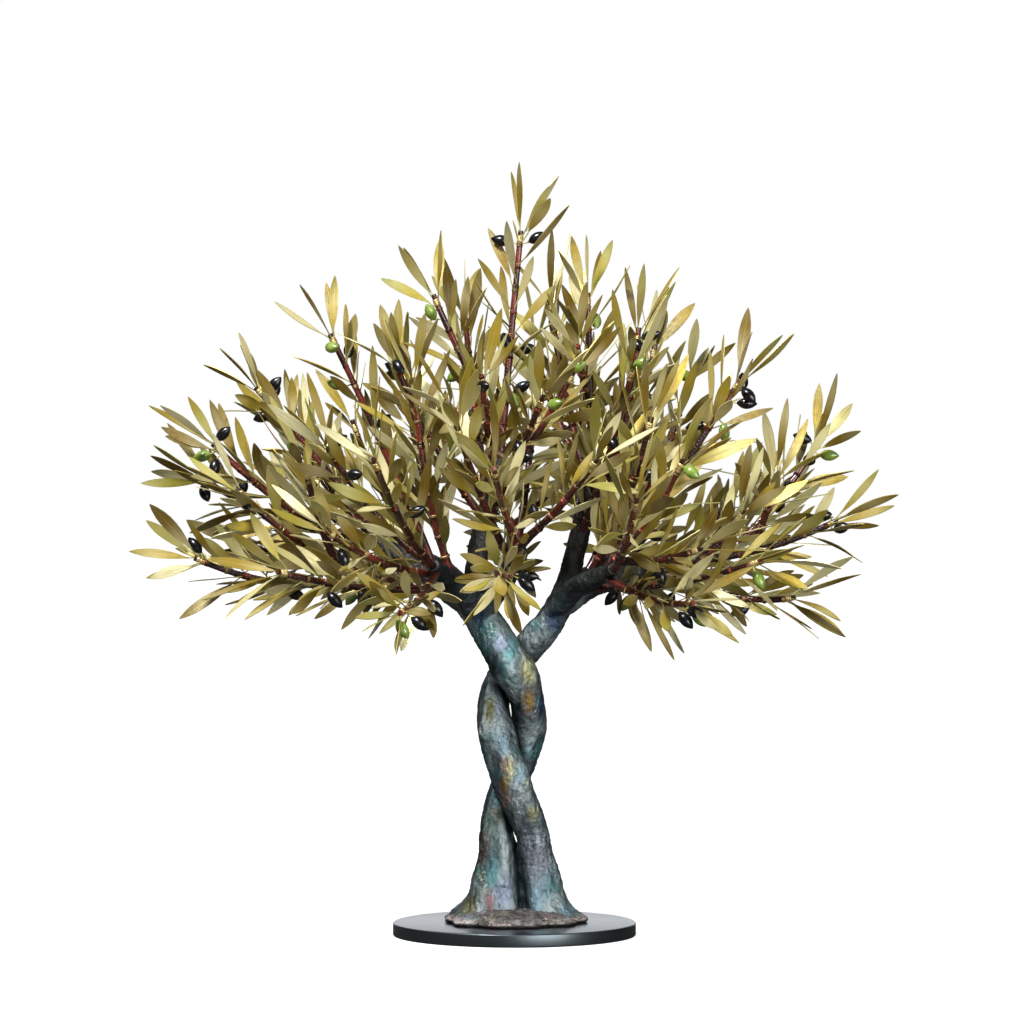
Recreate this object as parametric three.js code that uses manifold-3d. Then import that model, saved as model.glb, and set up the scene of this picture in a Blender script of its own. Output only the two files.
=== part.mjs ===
// Olive bonsai: two trunks wound round each other, bedded in a rough mound on a round disc, under a
// dome of leafy wire stems with black and green olives. Millimetres, +Z up, the front facing -Y.
// The origin is the centre of the disc's underside.

import * as THREE from 'three';
import { mergeVertices } from 'three/addons/utils/BufferGeometryUtils.js';
import Module from 'manifold-3d';

const wasm = await Module();
wasm.setup();

// Driving dimensions

const SEAT_GAP = 0.3; // between pieces that touch

const DISC_DIAMETER = 150;
const DISC_THICKNESS = 8;
const DISC_BEVEL = 0.9;
const DISC_SIDES = 44;

const MOUND_REACH = 43; // from the middle to the mound's rim
const MOUND_HEIGHT = 11;
const MOUND_SIDES = 20;
const MOUND_PROFILE = [[0, 0], [0.6, 2.4], [-2.5, 5], [-9, 8], [-20, MOUND_HEIGHT]]; // past the reach, height
const MOUND_LOBES = [[0.035, 3, 1], [0.03, 7, 0], [-0.03, 11, 0]]; // share of the reach, count, turn

const TRUNK_SIDES = 12;
const TRUNK_STEPS = 21;
const FOOT_BED = 3; // putty left under each trunk's foot
const BARK_RIBS = [[0.05, 3, 0.05], [0.03, 5, -0.09], [0.02, 2, 0.21]]; // share of the radius, count, twist
const KNOT_FALL = 2.5; // how steeply a knot falls away

const LIMB_SIDES = 6;
const LIMB_STEPS = 3;

const STEM_SIDES = 5;
const STEM_ROOT_RADIUS = 2.7;
const STEM_TIP_RADIUS = 1.7;

const COLLAR_SPACING = 30; // between the places on a stem where leaves grow
const COLLAR_FROM_TIP = 5;
const BARE_SHARE = 0.28; // of a stem's length, at its root
const MOST_COLLARS = 5;

const LEAF_LENGTH = [31, 44]; // blade only
const LEAF_WIDTH = [6.2, 8.2];
const LEAF_THICKNESS = 0.9; // at the midrib
const STALK_LENGTH = [6, 11];
const STALK_WIDTH = 1.1;
const STALK_SUNK = 1.5; // how far past the stem's middle a stalk's pointed root goes
const BLADE_START = 1.6; // width where the stalk turns into the blade
const BLADE_OUTLINE = [[0.34, 0.92], [0.68, 0.88]]; // share of the length, share of the width
const LEAF_BEND = [-0.06, 0.16]; // how far the tip arches back, as a share of the length
const LEAF_ROLL = 2.2; // spread of the turns about the leaf's own line, in radians
const LEAF_TURN = 0.2; // spread of the turns about the stem, in radians
const LEAF_OPENING = [0.75, 1.3]; // share of the angle from the stem
const LEAF_LIFT = [-0.25, 0.3]; // how far a leaf is drawn down or up
const FACE_LIFT = 0.6; // how far a leaf's face is tipped up
const FACE_FORWARD = 0.3; // and how far towards the stem's tip

const TIP_LEAVES = 3;
const TIP_SPREAD = 0.42; // angle from the stem, in radians
const SIDE_SPREAD = 0.75;
const TRIES = 10;
const ROOM = 0.5; // free space round each leaf and olive
const ROOM_ENDS = [0.12, 0.55, 1]; // shares of the blade where the stalk's and the blade's rooms end
const ROOM_WIDTHS = [0.42, 0.36]; // share of the leaf's width

const OLIVE_LENGTH = 12;
const OLIVE_DIAMETER = 7;
const OLIVE_STALK = 6;
const OLIVE_SIDES = 5;
const OLIVE_OUTLINE = [[0.28, 0.92], [0.7, 0.9]]; // share of the length, share of the radius
const OLIVE_PLACES = { first: 0.3, last: 0.97, step: 0.05 }; // shares of a stem an olive can hang from
const OLIVE_NEARNESS = 0.06; // how much a stem nearer the viewer is preferred
const OLIVE_TILT = 0.8 * Math.PI; // spread of its own line, in radians
const OLIVE_DROOP = 0.2;
const OLIVE_FOLLOW = 0.8; // how far it follows its stalk

// Trunks: the centre of each section from the foot up, with its radius

const TRUNK_RIGHT_FOOT = [
  [18.8, -2.5, 8, 16],
  [16.8, -2.4, 24, 13.5],
  [13.5, -3, 45, 10.9],
  [10.8, -4.8, 63, 10],
  [4.8, -9.4, 80, 11.6],
  [-1.6, -12.3, 97, 11.8],
  [-9, -9, 117, 12],
  [-13.2, -2, 138, 10],
  [-10.2, 8.4, 154, 9.4],
  [0.5, 12.8, 168, 9.8],
  [12.5, 8, 182, 9.6],
  [21.6, 5.5, 193, 9.2],
  [29.6, 4, 206, 8.6],
];

const TRUNK_LEFT_FOOT = [
  [-16.4, 1.5, 8, 18],
  [-13.6, 1.8, 24, 15.2],
  [-11.6, 2.5, 45, 11.6],
  [-11.2, 4.9, 63, 10.2],
  [-8, 10, 80, 10.2],
  [-1, 11.8, 97, 10.8],
  [6, 9.5, 114, 10.6],
  [8.8, 3.5, 132, 10.4],
  [7, -5.4, 147, 10.8],
  [1.5, -10.5, 162, 12.4],
  [-6.5, -9, 174, 11.6],
  [-17, -6.5, 191, 11.2],
  [-27, -5, 205, 10],
];

// Knots on the bark: height, direction seen from above in degrees, reach over the bark, how far it stands out

const KNOTS_RIGHT_FOOT = [
  [126, 235, 9, 2],
  [58, 300, 10, 1.3],
  [100, 250, 9, 1.2],
];
const KNOTS_LEFT_FOOT = [
  [70, 280, 9, 2.2],
  [34, 290, 9, 1.6],
  [166, 190, 9, 2.4],
  [128, 330, 8, 1.2],
];

// Limbs: the trunk each grows from, then its points outwards with the radius at each

const LIMBS = {
  right_side: ['right', [27, 4, 201, 8], [48, 2, 215, 7.2], [72, 0, 223, 6], [98, -3, 230, 4.4]],
  right_front: ['right', [25, 4, 200, 7.6], [37, -22, 214, 6.8], [49, -48, 221, 5.6], [60, -72, 227, 4.2]],
  right_back: ['right', [26, 5, 200, 7.6], [37, 30, 215, 6.8], [50, 55, 223, 5.6], [61, 79, 230, 4.2]],
  right_up: ['right', [27, 4, 200, 7.6], [36, 6, 230, 7], [43, 4, 258, 5.8], [48, 2, 288, 4.2]],
  left_side: ['left', [-24, -5, 201, 9], [-44, -5, 216, 8], [-67, -5, 232, 6.4], [-92, -4, 245, 4.4]],
  left_front: ['left', [-22, -6, 199, 8], [-32, -31, 213, 7], [-41, -57, 222, 5.8], [-49, -82, 229, 4.2]],
  left_back: ['left', [-23, -4, 200, 8], [-33, 26, 215, 7], [-44, 53, 224, 5.8], [-54, 79, 231, 4.2]],
  left_up: ['left', [-25, -5, 201, 8], [-23, -4, 232, 7], [-17, -2, 262, 5.8], [-9, 0, 294, 4.2]],
  middle_front: ['left', [-20, -7, 197, 7], [-8, -32, 217, 6.4], [-1, -58, 227, 5.4], [4, -82, 235, 4]],
  middle_back: ['left', [-22, -4, 200, 7], [-8, 28, 219, 6.4], [-1, 55, 230, 5.4], [4, 80, 238, 4]],
};

// Leafy stems: the limb or stem each grows from, how far along it, the stem's tip, how deep its arc hangs

const STEMS = {
  side_right_end: ['right_side', 1, [199, -10, 256], 10],
  side_right_mid: ['side_right_end', 0.3, [188, 8, 304], 6],
  side_right_low: ['right_side', 0.83, [171, -34, 209], 16],
  side_right_behind: ['right_side', 0.71, [152, 54, 272], 15],
  side_right_high: ['right_side', 0.6, [139, -12, 342], -5],
  side_right_inner: ['right_side', 0.35, [110, 18, 346], 14],
  side_right_back_low: ['right_side', 0.49, [160, 84, 236], 14],
  front_right_end: ['right_front', 1, [70, -168, 268], 10],
  front_right_mid: ['front_right_end', 0.2, [110, -122, 240], 6],
  front_right_low: ['right_front', 0.78, [104, -146, 208], 12],
  front_right_wide: ['right_front', 0.35, [146, -104, 232], 10],
  front_right_rise: ['right_front', 0.6, [100, -98, 292], 14],
  front_right_inner: ['right_front', 0.48, [82, -76, 318], 14],
  back_right_end: ['right_back', 1, [74, 168, 262], 10],
  back_right_low: ['right_back', 0.74, [104, 150, 214], 15],
  back_right_mid: ['right_back', 0.6, [140, 112, 268], 21],
  back_right_rise: ['right_back', 0.88, [96, 112, 304], 1],
  back_right_inner: ['right_back', 0.5, [86, 70, 336], 14],
  top_right_first: ['right_up', 1, [45, -10, 396], 0],
  top_right_second: ['right_up', 0.65, [76, -22, 374], 26],
  top_right_third: ['right_up', 0.78, [88, 30, 366], 20],
  top_right_back: ['right_up', 0.88, [22, 34, 394], 10],
  top_right_far: ['right_up', 0.4, [44, 92, 350], 8],
  top_right_low: ['right_up', 0.5, [72, -52, 350], 8],
  side_left_end: ['left_side', 1, [-194, 15, 282], 12],
  side_left_mid: ['side_left_end', 0.25, [-186, -8, 303], 4],
  side_left_low: ['left_side', 0.5, [-196, -20, 233], 24],
  side_left_high: ['left_side', 0.84, [-160, 2, 338], -4],
  side_left_behind: ['left_side', 0.7, [-142, 52, 314], 14],
  side_left_front: ['left_side', 0.22, [-168, -50, 275], 26],
  side_left_back_low: ['left_side', 0.6, [-168, 66, 240], 12],
  side_left_inner: ['left_side', 0.36, [-114, 2, 371], -4],
  front_left_end: ['left_front', 1, [-82, -146, 292], 10],
  front_left_low: ['left_front', 0.87, [-66, -172, 203], 11],
  front_left_wide: ['left_front', 0.39, [-140, -112, 226], 10],
  front_left_mid: ['left_front', 0.7, [-110, -134, 250], 11],
  front_left_rise: ['left_front', 0.6, [-112, -80, 300], 12],
  front_left_inner: ['left_front', 0.5, [-61, -62, 342], 14],
  back_left_end: ['left_back', 1, [-84, 152, 272], 10],
  back_left_low: ['left_back', 0.76, [-104, 144, 216], 10],
  back_left_mid: ['left_back', 0.63, [-140, 104, 276], 12],
  back_left_rise: ['left_back', 0.9, [-104, 96, 320], 14],
  back_left_inner: ['left_back', 0.5, [-70, 66, 352], 14],
  top: ['left_up', 1, [4, 5, 435], 0],
  top_left_first: ['top', 0.12, [-50, -5, 395], 4],
  top_left_second: ['left_up', 0.7, [-31, 24, 384], 4],
  top_left_third: ['left_up', 0.6, [-74, -22, 354], 8],
  top_front_first: ['left_up', 0.86, [-20, -70, 343], 4],
  top_front_second: ['left_up', 0.5, [17, -72, 330], 4],
  front_end: ['middle_front', 1, [-12, -168, 286], 8],
  front_right_of_middle: ['front_end', 0.15, [48, -150, 292], 6],
  front_low: ['middle_front', 0.85, [-10, -186, 226], 10],
  front_left_of_middle: ['middle_front', 0.7, [-34, -128, 312], 8],
  back_end: ['middle_back', 1, [-14, 160, 296], 8],
  back_low: ['middle_back', 0.64, [-8, 186, 230], 10],
  back_high: ['middle_back', 0.8, [14, 120, 336], 8],
  side_right_twig: ['side_right_end', 0.45, [160, -36, 284], 4],
  top_right_twig: ['top_right_first', 0.35, [38, -46, 362], 4],
  top_front_twig: ['top_front_first', 0.4, [-40, -84, 326], 4],
  top_middle_twig: ['top_front_second', 0.45, [36, -54, 346], 2],
  side_left_twig: ['side_left_front', 0.5, [-126, -66, 288], 6],
  front_right_twig: ['front_right_wide', 0.5, [138, -70, 262], 5],
  back_twig: ['back_end', 0.3, [32, 158, 284], 4],
  back_right_twig: ['back_right_inner', 0.4, [58, 112, 322], 4],
  back_left_twig: ['back_left_inner', 0.4, [-40, 108, 326], 4],
  back_high_twig: ['top_right_far', 0.5, [12, 84, 366], 4],
};

// Olives on the front: how far right and how high each hangs, with its colour. The even rows are part of
// their stems here, and every fourth row has a twin on the back.

const OLIVES = [
  [-197, 276, 'black'], [-188, 290, 'black'], [-183, 309, 'black'], [-166, 270, 'black'],
  [-149, 337, 'black'], [-152, 228, 'black'], [-144, 236, 'black'], [-142, 193, 'black'],
  [-119, 177, 'black'], [-103, 237, 'black'], [-95, 199, 'black'], [-100, 283, 'black'],
  [-95, 275, 'black'], [-84, 314, 'black'], [-115, 317, 'black'], [-77, 362, 'black'], [-60, 260, 'black'],
  [-50, 189, 'black'], [-36, 201, 'black'], [-23, 335, 'black'], [-12, 371, 'black'], [4, 334, 'black'],
  [2, 294, 'black'], [-3, 305, 'black'], [10, 256, 'black'], [6, 223, 'black'], [17, 214, 'black'],
  [20, 428, 'black'], [51, 275, 'black'], [57, 307, 'black'], [76, 281, 'black'], [80, 248, 'black'],
  [84, 227, 'black'], [100, 202, 'black'], [95, 194, 'black'], [101, 357, 'black'], [79, 367, 'black'],
  [71, 366, 'black'], [142, 337, 'black'], [152, 321, 'black'], [166, 279, 'black'], [197, 248, 'black'],
  [-125, 361, 'green'], [-142, 306, 'green'], [-59, 375, 'green'], [20, 325, 'green'], [-4, 334, 'green'],
  [12, 355, 'green'], [33, 348, 'green'], [101, 288, 'green'], [122, 291, 'green'], [109, 185, 'green'],
  [143, 223, 'green'], [192, 293, 'green'], [-71, 191, 'green'], [110, 336, 'green'], [72, 348, 'green'],
];

// Working surfaces and curves

const UP = new THREE.Vector3(0, 0, 1);
const RIGHT = new THREE.Vector3(1, 0, 0);
const vector = ([x, y, z]) => new THREE.Vector3(x, y, z);
const mix = (from, to, share) => from + (to - from) * share;

// A closed geometry as a solid. Faces that shrank to a line at a pointed end are left out.
function solid(geometry) {
  geometry.deleteAttribute('normal');
  geometry.deleteAttribute('uv');
  const merged = mergeVertices(geometry, 1e-4);
  const corners = merged.index.array;
  const faces = [];
  for (let i = 0; i < corners.length; i += 3) {
    const [a, b, c] = [corners[i], corners[i + 1], corners[i + 2]];
    if (a !== b && b !== c && c !== a) faces.push(a, b, c);
  }
  const made = (triangles) =>
    new wasm.Manifold(
      new wasm.Mesh({
        numProp: 3,
        vertProperties: merged.attributes.position.array,
        triVerts: new Uint32Array(triangles),
      }),
    );
  const body = made(faces);
  return body.volume() > 0 ? body : made(faces.reverse());
}

function geometryOf(body) {
  const mesh = body.getMesh();
  const geometry = new THREE.BufferGeometry();
  geometry.setAttribute('position', new THREE.BufferAttribute(mesh.vertProperties, 3));
  geometry.setIndex(new THREE.BufferAttribute(mesh.triVerts, 1));
  const flat = geometry.toNonIndexed();
  flat.computeVertexNormals();
  return flat;
}

function moveVertices(geometry, move) {
  const positions = geometry.attributes.position;
  const vertex = new THREE.Vector3();
  for (let i = 0; i < positions.count; i += 1) {
    vertex.fromBufferAttribute(positions, i);
    move(vertex);
    positions.setXYZ(i, vertex.x, vertex.y, vertex.z);
  }
  return geometry;
}

function polygon(sides, radius) {
  return new THREE.Shape(
    Array.from({ length: sides }, (_, i) => {
      const angle = (2 * Math.PI * i) / sides;
      return new THREE.Vector2(radius * Math.cos(angle), radius * Math.sin(angle));
    }),
  );
}

// A tube along a curve whose radius changes: each ring of a tube of radius 1 is set to its own size.
function tube(curve, sides, steps, radiusAt) {
  const geometry = new THREE.ExtrudeGeometry(polygon(sides, 1), {
    steps,
    extrudePath: curve,
    bevelEnabled: false,
  });
  const centres = curve.getSpacedPoints(steps);
  return moveVertices(geometry, (vertex) => {
    let ring = 0;
    centres.forEach((centre, i) => {
      if (centre.distanceTo(vertex) < centres[ring].distanceTo(vertex)) ring = i;
    });
    const along = curve.getUtoTmapping(ring / steps);
    const offset = vertex.clone().sub(centres[ring]);
    vertex.copy(centres[ring]).addScaledVector(offset, radiusAt(along, offset, centres[ring]));
  });
}

// A body laid through rings: each step of a straight extrusion is set at its own place and size.
function ringed(section, rings) {
  const steps = rings.length - 1;
  const geometry = new THREE.ExtrudeGeometry(section, { depth: steps, steps, bevelEnabled: false });
  return moveVertices(geometry, (vertex) => {
    const ring = rings[Math.round(vertex.z)];
    const { x, y } = vertex;
    vertex
      .copy(ring.centre)
      .addScaledVector(ring.across, x * ring.wide)
      .addScaledVector(ring.above, y * ring.high);
  });
}

// Random draws that come out the same each time
function drawsFrom(seed) {
  let state = (seed * 48271 + 11) % 2147483647;
  const draw = () => {
    state = (state * 16807) % 2147483647;
    return state / 2147483647;
  };
  draw();
  draw();
  return draw;
}

// Disc

function discSolid() {
  const radius = DISC_DIAMETER / 2;
  const profile = [
    [0, 0],
    [radius - DISC_BEVEL / 2, 0],
    [radius, DISC_BEVEL / 2],
    [radius, DISC_THICKNESS - DISC_BEVEL],
    [radius - DISC_BEVEL, DISC_THICKNESS],
    [0, DISC_THICKNESS],
  ].map(([x, y]) => new THREE.Vector2(x, y));
  return solid(new THREE.LatheGeometry(profile, DISC_SIDES).rotateX(Math.PI / 2));
}

// Trunks and limbs

function stationCurve(stations) {
  return new THREE.CatmullRomCurve3(stations.map(vector), false, 'catmullrom', 0.5);
}

function stationRadius(stations, along) {
  const place = along * (stations.length - 1);
  const before = Math.min(Math.floor(place), stations.length - 2);
  return mix(stations[before][3], stations[before + 1][3], place - before);
}

// Bark ribs that wind with height, and the knots
function barkRadius(radius, offset, centre, knots) {
  const direction = Math.atan2(offset.y, offset.x);
  const { z } = centre;
  let factor = 1;
  for (const [share, count, twist] of BARK_RIBS) factor += share * Math.sin(count * direction + twist * z);
  let standing = 0;
  for (const [height, degrees, reach, rise] of knots) {
    const turn = direction - THREE.MathUtils.degToRad(degrees);
    const around = Math.atan2(Math.sin(turn), Math.cos(turn)) * radius;
    const away = Math.hypot(z - height, around) / reach;
    standing += rise * Math.exp(-KNOT_FALL * away * away);
  }
  return radius * factor + standing;
}

// A trunk with its foot cut flat, where it stands on the putty
function trunkSolid(stations, knots, grow) {
  const whole = solid(
    tube(stationCurve(stations), TRUNK_SIDES, TRUNK_STEPS, (along, offset, centre) =>
      barkRadius(stationRadius(stations, along), offset, centre, knots) + grow,
    ),
  );
  const foot = DISC_THICKNESS + FOOT_BED - grow;
  const under = new THREE.BoxGeometry(DISC_DIAMETER, DISC_DIAMETER, foot).translate(0, 0, foot / 2);
  return whole.subtract(solid(under));
}

function limbSolid(path, grow) {
  const end = vector(path.at(-1));
  end.addScaledVector(end.clone().sub(vector(path.at(-2))).normalize(), grow);
  const stations = [...path.slice(0, -1), [...end.toArray(), path.at(-1)[3]]];
  return solid(
    tube(stationCurve(stations), LIMB_SIDES, LIMB_STEPS, (along) => stationRadius(stations, along) + grow),
  );
}

// The whole grown form of one trunk, or that form swollen by the seat gap
function trunkWithLimbs(trunk, grow) {
  const isRight = trunk === 'right';
  const stations = isRight ? TRUNK_RIGHT_FOOT : TRUNK_LEFT_FOOT;
  const knots = isRight ? KNOTS_RIGHT_FOOT : KNOTS_LEFT_FOOT;
  const limbs = Object.values(LIMBS).filter(([carrier]) => carrier === trunk);
  return wasm.Manifold.union([
    trunkSolid(stations, knots, grow),
    ...limbs.map(([, ...path]) => limbSolid(path, grow)),
  ]);
}

// Mound: a low rough dome with a pocket for each foot

function moundSolid(feet) {
  const outline = MOUND_PROFILE.map(([past, high]) => new THREE.Vector2(MOUND_REACH + past, high));
  const profile = [new THREE.Vector2(0, 0), ...outline, new THREE.Vector2(0, MOUND_HEIGHT)];
  const geometry = new THREE.LatheGeometry(profile, MOUND_SIDES).rotateX(Math.PI / 2);
  moveVertices(geometry, (vertex) => {
    const direction = Math.atan2(vertex.y, vertex.x);
    let reach = 1;
    for (const [share, count, turn] of MOUND_LOBES) reach += share * Math.sin(count * direction + turn);
    vertex.x *= reach;
    vertex.y *= reach;
    vertex.z += DISC_THICKNESS;
  });
  return solid(geometry).subtract(feet);
}

// Leafy stems

// A stem leaves its limb outwards and rises to its tip, so its arc hangs under the straight line.
function stemCurve(name) {
  const [parent, along, tip, depth] = STEMS[name];
  const carrier = parent in LIMBS ? stationCurve(LIMBS[parent].slice(1)) : stemCurve(parent);
  const root = carrier.getPoint(along);
  const end = vector(tip);
  const outwards = end.clone().sub(root).setZ(0).normalize();
  const middle = root.clone().lerp(end, 0.5).addScaledVector(UP, -depth).addScaledVector(outwards, depth / 2);
  return new THREE.QuadraticBezierCurve3(root, middle, end);
}

function stemRadius(along) {
  return mix(STEM_ROOT_RADIUS, STEM_TIP_RADIUS, along);
}

// The more a stem arches, the more straight pieces it is made of.
function stemSteps(name) {
  const depth = Math.abs(STEMS[name][3]);
  return Math.max(2, Math.ceil(Math.sqrt(depth / 2)));
}

function onStem(name, along) {
  const steps = stemSteps(name);
  const before = Math.min(Math.floor(along * steps), steps - 1);
  const start = curves[name].getPoint(before / steps);
  return start.lerp(curves[name].getPoint((before + 1) / steps), along * steps - before);
}

function stemSolid(name) {
  const curve = curves[name];
  const steps = stemSteps(name);
  const rings = Array.from({ length: steps + 1 }, (_, i) => {
    const along = i / steps;
    const forward = directionAt(curve, along);
    return {
      centre: curve.getPoint(along),
      across: awayFrom(forward, 0),
      above: awayFrom(forward, Math.PI / 2),
      wide: stemRadius(along),
      high: stemRadius(along),
    };
  });
  return solid(ringed(polygon(STEM_SIDES, 1), rings));
}

// Straight pieces with a thickness stand for what is already in place when a leaf's room is tested.
function piecesAlong(points, radiusAt, node, collar) {
  return points.slice(1).map((end, i) => {
    const start = points[i];
    const radius = radiusAt((i + 0.5) / (points.length - 1));
    const middle = start.clone().lerp(end, 0.5);
    return { start, end, middle, half: start.distanceTo(end) / 2, radius, node, collar };
  });
}

// The least distance between two straight pieces
function distanceBetween(first, second) {
  const along = first.end.clone().sub(first.start);
  const other = second.end.clone().sub(second.start);
  const apart = first.start.clone().sub(second.start);
  const a = along.dot(along);
  const e = other.dot(other);
  const f = other.dot(apart);
  const b = along.dot(other);
  const c = along.dot(apart);
  const area = a * e - b * b;
  const limit = (value) => Math.min(1, Math.max(0, value));
  let s = area > 1e-9 ? limit((b * f - c * e) / area) : 0;
  let t = (b * s + f) / e;
  if (t < 0) {
    t = 0;
    s = limit(-c / a);
  } else if (t > 1) {
    t = 1;
    s = limit((b - c) / a);
  }
  return apart.addScaledVector(along, s).addScaledVector(other, -t).length();
}

function hasRoom(piece, others, margin) {
  return others.every((other) => {
    const reach = piece.radius + other.radius + margin;
    if (piece.middle.distanceTo(other.middle) > reach + piece.half + other.half) return true;
    return distanceBetween(piece, other) > reach;
  });
}

// A direction square to the stem, turned about it
function awayFrom(forward, turn) {
  const across = forward.clone().cross(UP).normalize();
  const above = across.clone().cross(forward);
  return across.multiplyScalar(Math.cos(turn)).addScaledVector(above, Math.sin(turn));
}

function directionAt(curve, along) {
  const start = curve.v1.clone().sub(curve.v0).multiplyScalar(1 - along);
  return start.addScaledVector(curve.v2.clone().sub(curve.v1), along).normalize();
}

// One leaf: where its stalk leaves the stem, the way it points, the way its face looks and its sizes
function leafFrom(name, along, turn, spread, draw) {
  const root = onStem(name, along);
  const forward = directionAt(curves[name], along);
  const away = awayFrom(forward, turn + (draw() - 0.5) * LEAF_TURN);
  const open = spread * mix(...LEAF_OPENING, draw());
  const direction = forward.clone().multiplyScalar(Math.cos(open)).addScaledVector(away, Math.sin(open));
  direction.addScaledVector(UP, mix(...LEAF_LIFT, draw())).normalize();
  const face = UP.clone().cross(direction).multiplyScalar(draw() < 0.5 ? 1 : -1);
  face.addScaledVector(UP, FACE_LIFT).addScaledVector(forward, FACE_FORWARD);
  face.addScaledVector(direction, -face.dot(direction)).normalize();
  face.applyAxisAngle(direction, (draw() - 0.5) * LEAF_ROLL);
  return {
    root,
    direction,
    face,
    stalk: mix(...STALK_LENGTH, draw()),
    length: mix(...LEAF_LENGTH, draw()),
    width: mix(...LEAF_WIDTH, draw()),
    bend: mix(...LEAF_BEND, draw()),
  };
}

// A point on the leaf's midline. The blade arches away from its face as it goes out.
function onMidline(leaf, distance) {
  const out = Math.max(0, distance - leaf.stalk) / leaf.length;
  return leaf.root
    .clone()
    .addScaledVector(leaf.direction, distance)
    .addScaledVector(leaf.face, -leaf.bend * leaf.length * out * out);
}

// The leaf's room: a thin piece for the stalk and two for the blade
function leafPieces(leaf, node, collar) {
  const ends = ROOM_ENDS.map((share) => leaf.stalk + leaf.length * share);
  const points = [STEM_ROOT_RADIUS, ...ends].map((distance) => onMidline(leaf, distance));
  const radii = [STALK_WIDTH / 2, ...ROOM_WIDTHS.map((share) => share * leaf.width)];
  return radii.flatMap((radius, i) => piecesAlong([points[i], points[i + 1]], () => radius, node, collar));
}

const BLADE_SECTION = new THREE.Shape([
  new THREE.Vector2(-0.5, 0),
  new THREE.Vector2(0, -1),
  new THREE.Vector2(0.5, 0),
]);

function leafSolid(leaf) {
  const across = leaf.direction.clone().cross(leaf.face);
  const ring = (distance, wide, high) => ({
    centre: onMidline(leaf, distance),
    across,
    above: leaf.face,
    wide,
    high,
  });
  const bladeRing = ([share, wide]) =>
    ring(leaf.stalk + leaf.length * share, leaf.width * wide, LEAF_THICKNESS);
  const rings = [
    ring(-STALK_SUNK, 0, 0),
    ring(leaf.stalk, BLADE_START, LEAF_THICKNESS),
    ...BLADE_OUTLINE.map(bladeRing),
    ring(leaf.stalk + leaf.length, 0, 0),
  ];
  return solid(ringed(BLADE_SECTION, rings));
}

// One olive on its stalk, hung from the stem nearest to its place as seen from the front or the back
function oliveAt([right, high, colour], side, number) {
  const target = new THREE.Vector3(right * -side, 0, high);
  const { first, last, step } = OLIVE_PLACES;
  let best = { cost: Infinity };
  for (const name of Object.keys(curves)) {
    for (let along = first; along < last; along += step) {
      const stem = onStem(name, along);
      const aside = Math.hypot(stem.x - target.x, stem.z - target.z);
      const cost = aside - side * stem.y * OLIVE_NEARNESS;
      if (cost < best.cost) best = { cost, name, stem };
    }
  }
  const { name, stem } = best;
  const draw = drawsFrom(OLIVE_SEED + number);
  target.y = stem.y + side * OLIVE_STALK;
  const hang = target.sub(stem).normalize();
  const tilt = (draw() - 0.5) * OLIVE_TILT;
  const lean = draw() < 0.5 ? -1 : 1;
  const axis = new THREE.Vector3(Math.cos(tilt) * lean, 0, Math.sin(tilt) - OLIVE_DROOP);
  axis.addScaledVector(hang, OLIVE_FOLLOW).normalize();
  const start = stem.clone().addScaledVector(hang, OLIVE_STALK);
  const end = start.clone().addScaledVector(axis, OLIVE_LENGTH);
  return { colour, name, stem, start, axis, end };
}

function oliveSolid(olive) {
  const frame = (along) => {
    const across = along.clone().cross(Math.abs(along.z) > 0.9 ? RIGHT : UP).normalize();
    return { across, above: across.clone().cross(along) };
  };
  const hang = olive.start.clone().sub(olive.stem).normalize();
  const ring = (share, radius) => ({
    centre: olive.start.clone().lerp(olive.end, share),
    ...frame(olive.axis),
    wide: radius,
    high: radius,
  });
  const rings = [
    { centre: olive.stem.clone().addScaledVector(hang, -STALK_SUNK), ...frame(hang), wide: 0, high: 0 },
    { centre: olive.start, ...frame(hang), wide: BLADE_START / 2, high: BLADE_START / 2 },
    ...OLIVE_OUTLINE.map(([share, wide]) => ring(share, (OLIVE_DIAMETER / 2) * wide)),
    ring(1, 0),
  ];
  return solid(ringed(polygon(OLIVE_SIDES, 1), rings));
}

// Placing: stems first, then olives, then leaves, each only where it has room

const curves = Object.fromEntries(Object.keys(STEMS).map((name) => [name, stemCurve(name)]));
const nodeOf = (name) => (STEMS[name][0] in LIMBS ? name : nodeOf(STEMS[name][0]));

const OLIVE_SEED = 900;
const SEED_STEPS = { stem: 4001, collar: 401, number: 41 };

const placed = [];
for (const [, ...path] of Object.values(LIMBS)) {
  const points = stationCurve(path).getPoints(9);
  placed.push(...piecesAlong(points, (along) => stationRadius(path, along), 'limbs'));
}
for (const [name, curve] of Object.entries(curves)) {
  placed.push(...piecesAlong(curve.getPoints(8), stemRadius, nodeOf(name)));
}

const olives = [];
OLIVES.forEach((row, i) => {
  for (const side of i % 4 === 0 ? [-1, 1] : [-1]) {
    if (i % 2 && side === -1) continue;
    const olive = oliveAt(row, side, i * 2 + (side + 1) / 2);
    const node = nodeOf(olive.name);
    const [piece] = piecesAlong([olive.start, olive.end], () => OLIVE_DIAMETER / 2, node);
    if (!hasRoom(piece, placed.filter((other) => other.node !== node), ROOM)) continue;
    placed.push(piece);
    olives.push({ ...olive, node });
  }
});

// A stalk may pass through its own stem's pieces, a blade only by the leaves of its own collar.
function leafHasRoom(pieces) {
  const isOther = (piece, other, i) => (i === 0 ? other.node !== piece.node : other.collar !== piece.collar);
  return pieces.every((piece, i) =>
    hasRoom(
      piece,
      placed.filter((other) => isOther(piece, other, i)),
      ROOM,
    ),
  );
}

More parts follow.
